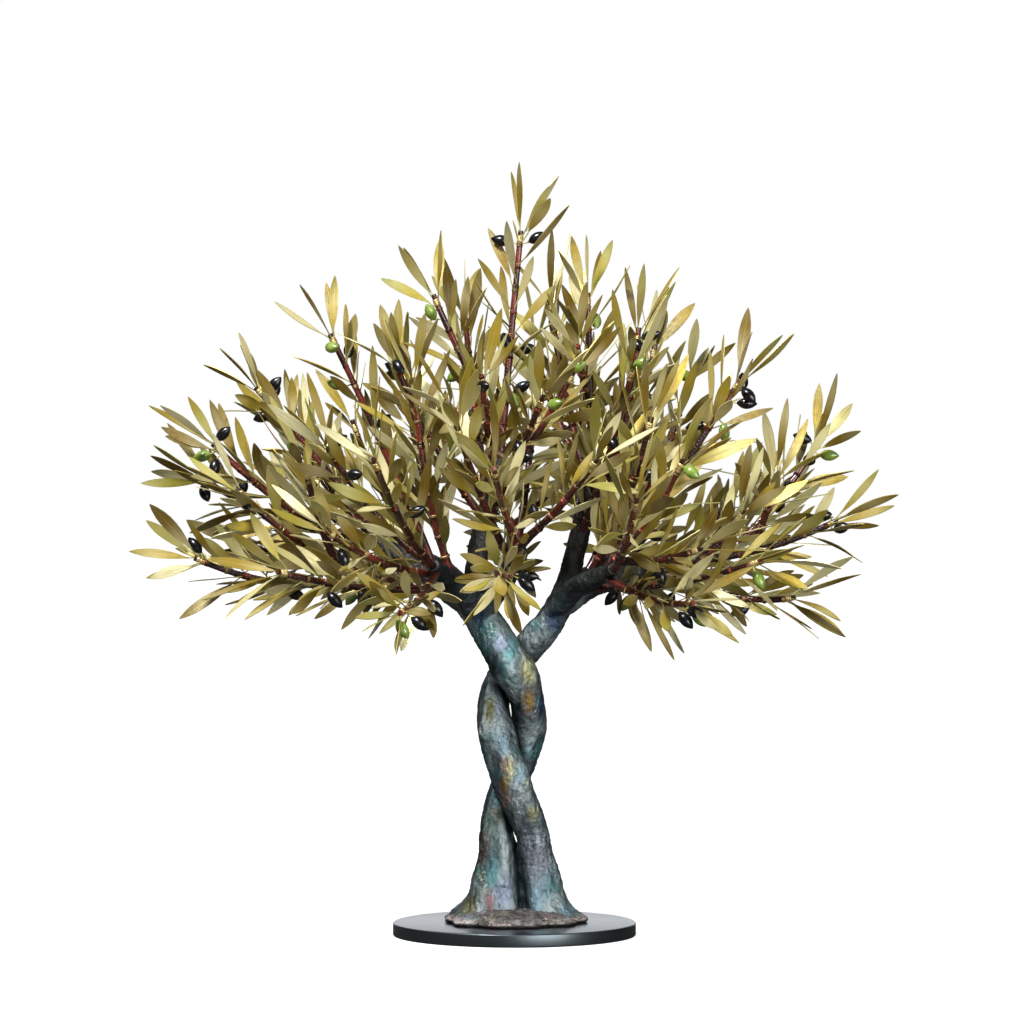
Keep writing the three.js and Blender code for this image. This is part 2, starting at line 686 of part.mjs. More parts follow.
function tryLeaf(name, stemNumber, collar, number, along, attempt) {
  const seed = SEED_STEPS.stem * stemNumber + SEED_STEPS.collar * collar + SEED_STEPS.number * number;
  const side = 2 * collar + 2 * number + stemNumber + attempt;
  const turn = ((side + 0.5) * 2 * Math.PI) / STEM_SIDES;
  const spread = collar === 0 ? TIP_SPREAD : SIDE_SPREAD;
  return leafFrom(name, along, turn, spread, drawsFrom(seed + attempt));
}

const leaves = [];
Object.entries(curves).forEach(([name, curve], stemNumber) => {
  const node = nodeOf(name);
  const reach = curve.v0.distanceTo(curve.v2);
  const collars = Math.floor((reach * (1 - BARE_SHARE) - COLLAR_FROM_TIP) / COLLAR_SPACING) + 1;
  for (let collar = 0; collar < Math.min(collars, MOST_COLLARS); collar += 1) {
    const along = 1 - (COLLAR_FROM_TIP + collar * COLLAR_SPACING) / reach;
    for (let number = 0; number < (collar === 0 ? TIP_LEAVES : 1); number += 1) {
      for (let attempt = 0; attempt < TRIES; attempt += 1) {
        const leaf = tryLeaf(name, stemNumber, collar, number, along, attempt);
        const pieces = leafPieces(leaf, node, name + collar);
        if (!leafHasRoom(pieces)) continue;
        placed.push(...pieces);
        leaves.push({ ...leaf, node });
        break;
      }
    }
  }
});

// Assembly

const assembly = new THREE.Group();
assembly.name = 'olive_bonsai';

function addPart(name, body, material) {
  const mesh = new THREE.Mesh(geometryOf(body), new THREE.MeshStandardMaterial(material));
  mesh.name = name;
  assembly.add(mesh);
}

const DISC_FINISH = { color: 0x0b0d10, roughness: 0.08, metalness: 0 };
const MOUND_FINISH = { color: 0x6e5d56, roughness: 0.8, metalness: 0 };
const TRUNK_FINISH = { color: 0x5d7480, roughness: 0.45, metalness: 0.2 };
const FOLIAGE_FINISH = { color: 0x8f803a, roughness: 0.4, metalness: 0.3 };

addPart('base_disc', discSolid(), DISC_FINISH);
const swollenFeet = wasm.Manifold.union([
  trunkSolid(TRUNK_RIGHT_FOOT, KNOTS_RIGHT_FOOT, SEAT_GAP),
  trunkSolid(TRUNK_LEFT_FOOT, KNOTS_LEFT_FOOT, SEAT_GAP),
]);
addPart('root_mound', moundSolid(swollenFeet), MOUND_FINISH);
addPart('trunk_right_foot', trunkWithLimbs('right', 0), TRUNK_FINISH);
addPart('trunk_left_foot', trunkWithLimbs('left', 0), TRUNK_FINISH);

const swollen = { right: trunkWithLimbs('right', SEAT_GAP), left: trunkWithLimbs('left', SEAT_GAP) };
for (const name of Object.keys(STEMS)) {
  if (nodeOf(name) !== name) continue;
  const inNode = Object.keys(STEMS).filter((other) => nodeOf(other) === name);
  const bodies = inNode.map(stemSolid);
  bodies.push(...leaves.filter((leaf) => leaf.node === name).map(leafSolid));
  bodies.push(...olives.filter((olive) => olive.node === name).map(oliveSolid));
  const grown = wasm.Manifold.union(bodies);
  const [trunk] = LIMBS[STEMS[name][0]];
  addPart('stem_' + name, grown.subtract(swollen[trunk]), FOLIAGE_FINISH);
}

export default assembly;
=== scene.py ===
import math
from contextlib import contextmanager
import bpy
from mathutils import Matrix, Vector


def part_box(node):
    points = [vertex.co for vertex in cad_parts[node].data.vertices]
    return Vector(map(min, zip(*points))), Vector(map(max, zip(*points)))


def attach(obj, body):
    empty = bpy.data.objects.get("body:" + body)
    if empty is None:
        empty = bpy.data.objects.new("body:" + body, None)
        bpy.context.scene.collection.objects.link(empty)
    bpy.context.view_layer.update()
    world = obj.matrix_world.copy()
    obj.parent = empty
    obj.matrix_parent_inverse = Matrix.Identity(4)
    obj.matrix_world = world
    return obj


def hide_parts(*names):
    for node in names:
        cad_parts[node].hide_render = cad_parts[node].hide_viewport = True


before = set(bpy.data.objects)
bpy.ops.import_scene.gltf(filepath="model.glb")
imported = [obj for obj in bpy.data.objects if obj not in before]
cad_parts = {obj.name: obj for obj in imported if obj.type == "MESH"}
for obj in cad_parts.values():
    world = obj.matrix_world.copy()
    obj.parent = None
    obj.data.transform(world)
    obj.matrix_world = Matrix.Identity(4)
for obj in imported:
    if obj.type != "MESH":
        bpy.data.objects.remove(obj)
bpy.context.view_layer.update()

from types import SimpleNamespace

import bpy
import numpy as np
from mathutils import Vector, noise

bl_info = {
    "name": "Olive bonsai",
    "version": (1, 0, 0),
    "blender": (4, 5, 0),
    "location": "3D View > Sidebar > Olive bonsai",
    "description": "Dresses the frame of a sculpted olive tree on a round disc",
    "category": "Object",
}

# Lengths are in millimetres, as in the solids, and meshes are written in metres.

MM = 0.001
BODY = "root"
UP = np.array([0.0, 0.0, 1.0])
RIGHT = np.array([1.0, 0.0, 0.0])

# Disc and mound

DISC_LOW, DISC_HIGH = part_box("base_disc")
DISC_RADIUS = (DISC_HIGH.x - DISC_LOW.x) / MM / 2
DISC_THICKNESS = (DISC_HIGH.z - DISC_LOW.z) / MM
DISC_BEVEL = 0.9
DISC_SIDES = 256

# The mound's profile from the disc up: how far past its reach, and how high. Its lobes are waves round it:
# share, count and turn of each.

MOUND_REACH = 43
MOUND_HEIGHT = 9.2
MOUND_PROFILE = [
    (-0.8, 0), (0.4, 0.8), (0.9, 1.7), (0.2, 2.8), (-2, 3.9), (-5, 5.2), (-9, 6.6), (-14, 7.8), (-20, 8.8),
]
MOUND_LOBES = [(0.035, 3, 1), (0.03, 7, 0), (-0.03, 11, 0)]
MOUND_SIDES = 320
MOUND_RINGS = 60

# The mound's rough surface: size of a lump, octaves, stretch and shift, as in the bark

RIM_LUMPS = (3.4, 4)
RIM_RAGGED = 0.8
MOUND_LUMPS = (5, 3, (0.6, 0.6, 1))
MOUND_GRAIN = (1.9, 4, (1, 1, 1), 9)
MOUND_LUMP_SHARE = 0.7
MOUND_ROUGH = 0.62

# Trunks: the centre of each section from the foot up, with its radius

TRUNKS = {
    "right": [
        (18.8, -2.5, 8, 16),
        (16.8, -2.4, 24, 13.5),
        (13.5, -3, 45, 10.9),
        (10.8, -4.8, 63, 10),
        (4.8, -9.4, 80, 11.6),
        (-1.6, -12.3, 97, 11.8),
        (-9, -9, 117, 12),
        (-13.2, -2, 138, 10),
        (-10.2, 8.4, 154, 9.4),
        (0.5, 12.8, 168, 9.8),
        (12.5, 8, 182, 9.6),
        (21.6, 5.5, 193, 9.2),
        (29.6, 4, 206, 8.6),
    ],
    "left": [
        (-16.4, 1.5, 8, 18),
        (-13.6, 1.8, 24, 15.2),
        (-11.6, 2.5, 45, 11.6),
        (-11.2, 4.9, 63, 10.2),
        (-8, 10, 80, 10.2),
        (-1, 11.8, 97, 10.8),
        (6, 9.5, 114, 10.6),
        (8.8, 3.5, 132, 10.4),
        (7, -5.4, 147, 10.8),
        (1.5, -10.5, 162, 12.4),
        (-6.5, -9, 174, 11.6),
        (-17, -6.5, 191, 11.2),
        (-27, -5, 205, 10),
    ],
}
TRUNK_SIDES = 96
TRUNK_RINGS = 260

# How fast a trunk narrows at its top end, the share it keeps there, and how far over the disc its foot is cut

TRUNK_END = (30, 0.55)
FOOT_BED = 3

# Waves round the bark: share, count and turn in a millimetre of height. The limbs turn by the ring instead.

BARK_RIBS = [(0.05, 3, 0.05), (0.03, 5, -0.09), (0.02, 2, 0.21)]
LIMB_RIBS = [(0.06, 2, 0.11), (0.05, 3, -0.17)]
LIMB_SIDES = 32
LIMB_RINGS = 60

# The flare of the feet: how far out at the bottom, the height in which it falls off, and its waves

FLARE = 4.6
FLARE_FALL = 4.8
FLARE_WAVES = [(0.3, 5, 1), (0.2, 9, 0)]

# Knots: height, direction seen from above in degrees, reach over the bark, how far it stands out

KNOT_FALL = 2.5
KNOTS = {
    "right": [(126, 235, 9, 2), (58, 300, 10, 1.3), (100, 250, 9, 1.2)],
    "left": [(70, 280, 9, 2.2), (34, 290, 9, 1.6), (166, 190, 9, 2.4), (128, 330, 8, 1.2)],
}

# Scars that only the fine surface has, a rim round a shallow eye: height, direction, eye's half width, its
# height to its width, how far the rim stands out

SCARS = {
    "right": [(126.5, 226, 1.9, 1.8, 1.3)],
    "left": [(34, 289, 1.8, 1, 1.0)],
}

# Ridges that run down the bark: top and bottom height, direction at each, half width, rise, and the share of
# its length that its top takes to rise. The last on each side closes the gap between the two feet.

RIDGE_FALL = 1.6
RIDGE_SPREAD = 0.5
SCAR_FALL = 3
RIDGES = {
    "right": [
        (60, 12, 285, 320, 4.5, 1.1, 0.4), (52, 10, 345, 10, 5, 0.7, 0.6), (44, 10, 255, 240, 4, 1.4, 0.5),
        (36, 10, 207, 232, 3.2, -2.2, 0.7), (58, 8, 184, 182, 6, 1.8, 0.1),
    ],
    "left": [
        (74.5, 10, 281, 318, 4.4, 3.0, 0.05), (60, 10, 225, 205, 6, 0.9, 0.6),
        (44, 10, 262, 252, 4, 1.6, 0.6), (40, 8, 190, 178, 6, 0.4, 0.8), (58, 8, 345, 350, 7, 3.4, 0.12),
    ],
}

LIMBS = {
    "right_side": ("right", (27, 4, 201, 8), (48, 2, 215, 7.2), (72, 0, 223, 6), (98, -3, 230, 4.4)),
    "right_front": (
        "right", (25, 4, 200, 7.6), (37, -22, 214, 6.8), (49, -48, 221, 5.6), (60, -72, 227, 4.2),
    ),
    "right_back": ("right", (26, 5, 200, 7.6), (37, 30, 215, 6.8), (50, 55, 223, 5.6), (61, 79, 230, 4.2)),
    "right_up": ("right", (27, 4, 200, 7.6), (36, 6, 230, 7), (43, 4, 258, 5.8), (48, 2, 288, 4.2)),
    "left_side": ("left", (-24, -5, 201, 9), (-44, -5, 216, 8), (-67, -5, 232, 6.4), (-92, -4, 245, 4.4)),
    "left_front": ("left", (-22, -6, 199, 8), (-32, -31, 213, 7), (-41, -57, 222, 5.8), (-49, -82, 229, 4.2)),
    "left_back": ("left", (-23, -4, 200, 8), (-33, 26, 215, 7), (-44, 53, 224, 5.8), (-54, 79, 231, 4.2)),
    "left_up": ("left", (-25, -5, 201, 8), (-23, -4, 232, 7), (-17, -2, 262, 5.8), (-9, 0, 294, 4.2)),
    "middle_front": ("left", (-20, -7, 197, 7), (-8, -32, 217, 6.4), (-1, -58, 227, 5.4), (4, -82, 235, 4)),
    "middle_back": ("left", (-22, -4, 200, 7), (-8, 28, 219, 6.4), (-1, 55, 230, 5.4), (4, 80, 238, 4)),
}

# Patterns in the bark: size of a lump, octaves, stretch and shift. Wrinkles have three octaves. The roughness
# and the step in size from one octave to the next are the same in all.

FRACTAL = (0.9, 2.1)
BARK_LUMPS = (8.5, 4, (1, 1, 0.55))
BARK_GRAIN = (2.6, 3, (1, 1, 0.8), 31)
LEVEL_WRINKLES = (4.0, (0.5, 0.5, 1.15), 7)
UPRIGHT_WRINKLES = (6, (1.2, 1.2, 0.45), 3)
GRAIN_RISE, LEVEL_DEPTH, UPRIGHT_DEPTH = 0.25, 0.5, 0.42

# The heights between which the right trunk is creased across, and how near the other trunk the painted shade
# between the trunks reaches

CREASED_FROM, CREASED_TO = (24, 38), (76, 64)
HOLLOW_REACH = (0.4, 8)

# Leafy stems: the limb or stem each grows from, how far along it, the stem's tip, how deep its arc hangs

STEMS = {
    "side_right_end": ("right_side", 1, (199, -10, 256), 10),
    "side_right_mid": ("side_right_end", 0.3, (188, 8, 304), 6),
    "side_right_low": ("right_side", 0.83, (171, -34, 209), 16),
    "side_right_behind": ("right_side", 0.71, (152, 54, 272), 15),
    "side_right_high": ("right_side", 0.6, (139, -12, 342), -5),
    "side_right_inner": ("right_side", 0.35, (110, 18, 346), 14),
    "side_right_back_low": ("right_side", 0.49, (160, 84, 236), 14),
    "front_right_end": ("right_front", 1, (70, -168, 268), 10),
    "front_right_mid": ("front_right_end", 0.2, (110, -122, 240), 6),
    "front_right_low": ("right_front", 0.78, (104, -146, 208), 12),
    "front_right_wide": ("right_front", 0.35, (146, -104, 232), 10),
    "front_right_rise": ("right_front", 0.6, (100, -98, 292), 14),
    "front_right_inner": ("right_front", 0.48, (82, -76, 318), 14),
    "back_right_end": ("right_back", 1, (74, 168, 262), 10),
    "back_right_low": ("right_back", 0.74, (104, 150, 214), 15),
    "back_right_mid": ("right_back", 0.6, (140, 112, 268), 21),
    "back_right_rise": ("right_back", 0.88, (96, 112, 304), 1),
    "back_right_inner": ("right_back", 0.5, (86, 70, 336), 14),
    "top_right_first": ("right_up", 1, (45, -10, 396), 0),
    "top_right_second": ("right_up", 0.65, (76, -22, 374), 26),
    "top_right_third": ("right_up", 0.78, (88, 30, 366), 20),
    "top_right_back": ("right_up", 0.88, (22, 34, 394), 10),
    "top_right_far": ("right_up", 0.4, (44, 92, 350), 8),
    "top_right_low": ("right_up", 0.5, (72, -52, 350), 8),
    "side_left_end": ("left_side", 1, (-194, 15, 282), 12),
    "side_left_mid": ("side_left_end", 0.25, (-186, -8, 303), 4),
    "side_left_low": ("left_side", 0.5, (-196, -20, 233), 24),
    "side_left_high": ("left_side", 0.84, (-160, 2, 338), -4),
    "side_left_behind": ("left_side", 0.7, (-142, 52, 314), 14),
    "side_left_front": ("left_side", 0.22, (-168, -50, 275), 26),
    "side_left_back_low": ("left_side", 0.6, (-168, 66, 240), 12),
    "side_left_inner": ("left_side", 0.36, (-114, 2, 371), -4),
    "front_left_end": ("left_front", 1, (-82, -146, 292), 10),
    "front_left_low": ("left_front", 0.87, (-66, -172, 203), 11),
    "front_left_wide": ("left_front", 0.39, (-140, -112, 226), 10),
    "front_left_mid": ("left_front", 0.7, (-110, -134, 250), 11),
    "front_left_rise": ("left_front", 0.6, (-112, -80, 300), 12),
    "front_left_inner": ("left_front", 0.5, (-61, -62, 342), 14),
    "back_left_end": ("left_back", 1, (-84, 152, 272), 10),
    "back_left_low": ("left_back", 0.76, (-104, 144, 216), 10),
    "back_left_mid": ("left_back", 0.63, (-140, 104, 276), 12),
    "back_left_rise": ("left_back", 0.9, (-104, 96, 320), 14),
    "back_left_inner": ("left_back", 0.5, (-70, 66, 352), 14),
    "top": ("left_up", 1, (4, 5, 435), 0),
    "top_left_first": ("top", 0.12, (-50, -5, 395), 4),
    "top_left_second": ("left_up", 0.7, (-31, 24, 384), 4),
    "top_left_third": ("left_up", 0.6, (-74, -22, 354), 8),
    "top_front_first": ("left_up", 0.86, (-20, -70, 343), 4),
    "top_front_second": ("left_up", 0.5, (17, -72, 330), 4),
    "front_end": ("middle_front", 1, (-12, -168, 286), 8),
    "front_right_of_middle": ("front_end", 0.15, (48, -150, 292), 6),
    "front_low": ("middle_front", 0.85, (-10, -186, 226), 10),
    "front_left_of_middle": ("middle_front", 0.7, (-34, -128, 312), 8),
    "back_end": ("middle_back", 1, (-14, 160, 296), 8),
    "back_low": ("middle_back", 0.64, (-8, 186, 230), 10),
    "back_high": ("middle_back", 0.8, (14, 120, 336), 8),
    "side_right_twig": ("side_right_end", 0.45, (160, -36, 284), 4),
    "top_right_twig": ("top_right_first", 0.35, (38, -46, 362), 4),
    "top_front_twig": ("top_front_first", 0.4, (-40, -84, 326), 4),
    "top_middle_twig": ("top_front_second", 0.45, (36, -54, 346), 2),
    "side_left_twig": ("side_left_front", 0.5, (-126, -66, 288), 6),
    "front_right_twig": ("front_right_wide", 0.5, (138, -70, 262), 5),
    "back_twig": ("back_end", 0.3, (32, 158, 284), 4),
    "back_right_twig": ("back_right_inner", 0.4, (58, 112, 322), 4),
    "back_left_twig": ("back_left_inner", 0.4, (-40, 108, 326), 4),
    "back_high_twig": ("top_right_far", 0.5, (12, 84, 366), 4),
}

# Olives: how far right and how high each hangs on the front. Each has a twin on the back, turned half round.

BLACK_OLIVES = [
    (-197, 276), (-188, 290), (-183, 309), (-166, 270), (-149, 337), (-152, 228), (-144, 236),
    (-142, 193), (-119, 177), (-103, 237), (-95, 199), (-100, 283), (-95, 275), (-84, 314),
    (-115, 317), (-77, 362), (-60, 260), (-50, 189), (-36, 201), (-23, 335), (-12, 371),
    (4, 334), (2, 294), (-3, 305), (10, 256), (6, 223), (17, 214), (20, 428), (51, 275),
    (57, 307), (76, 281), (80, 248), (84, 227), (100, 202), (95, 194), (101, 357), (79, 367),
    (71, 366), (142, 337), (152, 321), (166, 279), (197, 248),
]
GREEN_OLIVES = [
    (-125, 361), (-142, 306), (-59, 375), (20, 325), (-4, 334), (12, 355), (33, 348), (101, 288),
    (122, 291), (109, 185), (143, 223), (192, 293), (-71, 191), (110, 336), (72, 348),
]

# The rule for stems, leaves and olives, as the solids have it

STEM_SIDES = 5
STEM_ROOT_RADIUS = 2.7
STEM_TIP_RADIUS = 1.7
LIMB_PIECES = 9
STEM_PIECES = 8

COLLAR_SPACING = 30
COLLAR_FROM_TIP = 5
BARE_SHARE = 0.28
MOST_COLLARS = 5

LEAF_LENGTH = (31, 44)
LEAF_WIDTH = (6.2, 8.2)
STALK_LENGTH = (6, 11)
STALK_WIDTH = 1.1
LEAF_BEND = (-0.06, 0.16)
LEAF_ROLL = 2.2
LEAF_TURN = 0.2
LEAF_OPENING = (0.75, 1.3)
LEAF_LIFT = (-0.25, 0.3)
FACE_LIFT = 0.6
FACE_FORWARD = 0.3
TIP_LEAVES = 3
TIP_SPREAD = 0.42
SIDE_SPREAD = 0.75
TRIES = 10
ROOM = 0.5
ROOM_ENDS = (0.12, 0.55, 1)
ROOM_WIDTHS = (0.42, 0.36)

OLIVE_LENGTH = 12
OLIVE_DIAMETER = 7
OLIVE_STALK = 6
OLIVE_PLACES = (0.3, 0.97, 0.05)
OLIVE_NEARNESS = 0.06
OLIVE_TILT = 0.8 * math.pi
OLIVE_DROOP = 0.2
OLIVE_FOLLOW = 0.8
OLIVE_SEED = 900
SEED_STEPS = (4001, 401, 41)

# More leaves than the solids have, placed by the same rule between theirs

EXTRA_SPACING = 14
EXTRA_FROM_TIP = 9
EXTRA_ROOM = 0.15
EXTRA_TIP_LEAVES = 2
EXTRA_SPREAD = 0.56
EXTRA_SIDE_LEAVES = 3
HIGH_SIDE_LEAVES = 2
HIGH_TIP = 360
EXTRA_SHORTNESS = (0.72, 1.05)
EXTRA_SEED = 700001
MOST_EXTRA_COLLARS = 11

# The first seed and the step of the draws for each kind of fine piece

SEEDS = {"leaf": (5000003, 7), "stem": (6000101, 13), "stalk": (7000003, 11), "collar": (8000009, 17)}

# The fine stems, collars and leaves

STEM_FINE_SIDES = 12
STEM_RINGS = 30
STEM_SWELL = 0.05
STEM_REDNESS = (-0.35, 0.55)
COLLAR_LENGTH = 1.9
TIP_COLLAR_LENGTH = 4.5
COLLAR_SWELL = 1.13
COLLAR_SWELLS = [0.9, 1.0, 1.06, 0.98, 1.08, 0.97, 1.05, 0.98, 0.88]
COLLAR_SIDES = 12
COLLAR_TONE = 0.55
TIP_COLLAR_TONE = 0.85
BLADE_STATIONS = [0, 0.08, 0.2, 0.34, 0.48, 0.62, 0.75, 0.87, 0.955, 1]
BLADE_WIDTHS = [0.1, 0.28, 0.6, 0.86, 0.99, 1.0, 0.86, 0.56, 0.25, 0]
BLANK_LENGTH, BLANK_WIDTH, BLANK_STALK = 38, 7.2, 8
STALK_RADIUS = 0.42
STALK_SIDES = 5
STALK_RINGS = 4
STALK_OVERLAP = 0.07
LEAF_SLIMNESS = (0.68, 0.98)

# A leaf's own shape: the middle of each draw and how much it weighs

LEAF_SHAPE = {"cup": (0.35, 0.14), "sway": (0.5, 0.16), "wave": (0.5, 0.05), "sag": (0.5, 0.22)}

# The fine olives and their stalks

OLIVE_SIDES = 18
OLIVE_RINGS = 14
OLIVE_BLUNTNESS = (0.92, 0.6)
OLIVE_NIB = 0.035
OLIVE_STALK_RADII = [0.45] * 5 + [0.6, 0.8]
OLIVE_STALK_SIDES = 6

# The camera looks level, from the height of the crown's lower part.

CAMERA_PLACE = (-1.5, -2450, 261)
CAMERA_LENS = 139.5
CAMERA_SENSOR = 36
CAMERA_CLIP = (0.1, 100)

# Lights: place in metres, width and power

LIGHTS = {"front_light": ((0.95, -1.65, 0.3), 1.3, 46), "high_light": ((-0.75, -1.1, 1.9), 0.5, 90)}
LIGHT_AIM = (0, 0, 0.22)

# The world's sweep from its dim front to its white back: each value for plain light, and as mirrored

WORLD_SWEEP = {
    "From Min": (0.2, 0.8), "From Max": (0.8, 0.96), "To Min": (0.1, 0.03), "To Max": (0.9, 1.05),
}
WORLD_TINT = (0.96, 0.98, 1)

# The floor glows more the farther out it is, in metres, so that it runs into the white world.

FLOOR_GLOW = (0.76, 0.97)
FLOOR_GLOW_REACH = (0.6, 4.0)


class BonsaiSizes(bpy.types.PropertyGroup):
    """Sizes of the fine surfaces"""

    trunk_grain: bpy.props.FloatProperty(
        name="Trunk grain",
        description="Size of the faces of the sculpted trunks",
        default=0.95 * MM,
        min=0.5 * MM,
        max=3 * MM,
        unit="LENGTH",
    )
    bark_relief: bpy.props.FloatProperty(
        name="Bark relief",
        description="How far the bark's lumps stand out",
        default=0.5 * MM,
        unit="LENGTH",
    )
    leaf_thickness: bpy.props.FloatProperty(
        name="Leaf thickness",
        description="Thickness of the leaves' metal",
        default=0.5 * MM,
        unit="LENGTH",
    )
    leaf_twist: bpy.props.FloatProperty(
        name="Leaf twist",
        description="Most that a leaf turns from its stalk to its tip",
        default=math.radians(28),
        subtype="ANGLE",
    )
    floor_width: bpy.props.FloatProperty(
        name="Floor width",
        description="Width of the plain floor",
        default=80,
        unit="LENGTH",
    )


def colour_property(name, description, default):
    return bpy.props.FloatVectorProperty(
        name=name, description=description, default=default, subtype="COLOR", min=0, max=1
    )


class BonsaiColours(bpy.types.PropertyGroup):
    """Colours of the finishes"""

    slate: colour_property("Slate", "Grey-blue paint over the trunks", (0.11, 0.145, 0.155))
    ash: colour_property("Ash", "Pale grey paint in streaks", (0.315, 0.375, 0.38))
    turquoise: colour_property("Turquoise", "Blue-green in the trunks' paint", (0.085, 0.215, 0.225))
    sea_blue: colour_property("Sea blue", "Pale blue at the feet and the crossings", (0.225, 0.345, 0.41))
    deep_blue: colour_property("Deep blue", "Dark blue at the fork", (0.05, 0.095, 0.17))
    mauve: colour_property("Mauve", "Purple-grey in the trunks' paint", (0.14, 0.12, 0.17))
    lilac: colour_property("Lilac", "Lilac-grey on the left foot", (0.27, 0.32, 0.42))
    rose: colour_property("Rose", "Faded red on the left foot", (0.25, 0.14, 0.155))
    moss: colour_property("Moss", "Olive green on the bark", (0.15, 0.155, 0.07))
    bark_brown: colour_property("Bark brown", "Bare brown-grey bark", (0.08, 0.066, 0.054))
    charcoal: colour_property("Charcoal", "Lilac-grey of the creased foot", (0.215, 0.235, 0.275))
    lime_gold: colour_property("Lime gold", "Yellow-green metal paint", (0.48, 0.46, 0.22))
    ochre: colour_property("Ochre", "Gold metal paint", (0.42, 0.25, 0.05))
    copper: colour_property("Copper", "Orange metal paint", (0.48, 0.28, 0.17))
    mint: colour_property("Mint", "Pale specks", (0.52, 0.56, 0.38))
    frost: colour_property("Frost", "Palest blue-white", (0.40, 0.46, 0.46))
    # Near-black of the painted shade: between the trunks, in the seam of the feet, in creases and pits, on
    # the flanks turned from the view and in the scars' eyes
    painted_shade: colour_property("Hollow", "Near-black between the trunks", (0.006, 0.013, 0.014))
    # The limbs' own dark brown, with painted shade under the crown
    limb_brown_and_shade: colour_property("Limb brown", "Dark brown of the limbs in the crown", (0.022, 0.015, 0.011))
    putty: colour_property("Putty", "Brown-grey putty of the mound", (0.155, 0.13, 0.122))
    putty_dark: colour_property("Dark putty", "Darker spots of the mound", (0.045, 0.037, 0.034))
    putty_blue: colour_property("Blue putty", "Blue paint rubbed on the mound", (0.13, 0.17, 0.19))
    putty_green: colour_property("Green putty", "Green paint rubbed on the mound", (0.16, 0.18, 0.12))
    # Pale pink of the painted highlight on the mound's rim
    putty_pink_highlight: colour_property("Pink putty", "Pale streaks on the mound's rim", (0.55, 0.46, 0.44))
    putty_pale: colour_property("Pale putty", "Pale flecks on the mound", (0.46, 0.40, 0.385))
    # Painted shade in the mound's low spots
    putty_pit_shade: colour_property("Putty pit", "Hollows of the mound", (0.02, 0.015, 0.014))
    putty_grit: colour_property("Putty grit", "Dark grit in the mound", (0.02, 0.016, 0.016))
    # Painted shade in the undercut under the mound's rim
    putty_under_shade: colour_property("Under the putty", "The gap under the mound's rim", (0.006, 0.005, 0.005))
    leaf_dark: colour_property("Dark leaf", "The darkest leaves", (0.12, 0.072, 0.008))
    leaf_gold: colour_property("Gold leaf", "The common leaf gold", (0.35, 0.252, 0.03))
    leaf_green: colour_property("Green leaf", "The greener leaves", (0.30, 0.28, 0.045))
    # Pale cream of the painted highlight, for the palest leaves and the band along each leaf
    leaf_pale_highlight: colour_property("Pale leaf", "The palest leaves", (0.80, 0.74, 0.43))
    leaf_tip: colour_property("Leaf tip", "Darker green at the leaves' tips", (0.16, 0.16, 0.06))
    leaf_foot: colour_property("Leaf foot", "Paler stalks and feet of the leaves", (0.42, 0.40, 0.15))
    leaf_rib: colour_property("Leaf rib", "The leaves' middle line", (0.45, 0.40, 0.18))
    stem_dark: colour_property("Dark stem", "Purple-black wrapping", (0.018, 0.005, 0.005))
    stem_red: colour_property("Red stem", "Red wrapping", (0.155, 0.02, 0.011))
    stem_fleck: colour_property("Stem fleck", "Lighter red flecks in the wrapping", (0.30, 0.11, 0.06))
    collar_gold: colour_property("Collar", "Pale gold wraps at the stems' tips", (0.52, 0.40, 0.16))
    collar_copper: colour_property("Copper collar", "Copper spots on the wraps", (0.30, 0.17, 0.08))
    collar_glint: colour_property("Collar glint", "Pale specks on the wraps", (0.60, 0.52, 0.32))
    olive_black: colour_property("Black olive", "Ripe olives", (0.004, 0.004, 0.006))
    olive_bloom: colour_property("Olive bloom", "Blue bloom on the ripe olives", (0.010, 0.014, 0.022))
    olive_green: colour_property("Green olive", "Unripe olives", (0.12, 0.20, 0.028))
    olive_lime: colour_property("Lime olive", "Lighter green of the unripe olives", (0.22, 0.30, 0.055))
    olive_dots: colour_property("Olive dots", "Fine dots on the unripe olives", (0.36, 0.42, 0.16))
    olive_ends: colour_property("Olive ends", "Ends of the unripe olives", (0.12, 0.14, 0.03))
    disc_black: colour_property("Disc", "Blue-black of the disc", (0.004, 0.006, 0.009))
    disc_dust: colour_property("Disc dust", "Fine dust on the disc", (0.16, 0.17, 0.18))
    disc_wall: colour_property("Disc wall", "Steel grey sheen of the disc's wall", (0.085, 0.1, 0.11))
    floor_pale: colour_property("Floor", "The floor as it is seen", (0.50, 0.50, 0.50))
    floor_paler: colour_property("Paler floor", "Soft spots of the floor", (0.52, 0.52, 0.52))
    floor_return: colour_property("Floor return", "What the floor throws back", (0.05, 0.05, 0.05))


def sizes():
    return bpy.context.scene.olive_bonsai_sizes


def colours():
    return bpy.context.scene.olive_bonsai_colours


# Small tools for numbers


def mix(low, high, share):
    return low + (high - low) * share


def unit(v):
    length = math.sqrt(v @ v)
    return v / length if length else v


def turned(v, axis, angle):
    """v turned about a unit axis."""
    along = axis * (axis @ v)
    aside = v - along
    return along + aside * math.cos(angle) + np.cross(axis, aside) * math.sin(angle)


def smooth_step(low, high, values):
    share = np.clip((values - low) / (high - low), 0, 1)
    return share * share * (3 - 2 * share)


def waved(direction, waves):
    """Waves round a ring as factors of its radius: share, count and turn of each."""
    factor = np.ones(len(direction))
    for share, count, turn in waves:
        factor += share * np.sin(count * direction + turn)
    return factor


def twisted(waves, distance):
    """Waves whose turn is given for a distance of 1, at another distance."""
    return [(share, count, turn * distance) for share, count, turn in waves]


class Draws:
    """Random draws that come out the same each time, as the solids have them."""

    spread, offset, step, period = 48271, 11, 16807, 2147483647

    def __init__(self, seed):
        self.state = (seed * self.spread + self.offset) % self.period
        self()
        self()

    def __call__(self):
        self.state = self.state * self.step % self.period
        return self.state / self.period


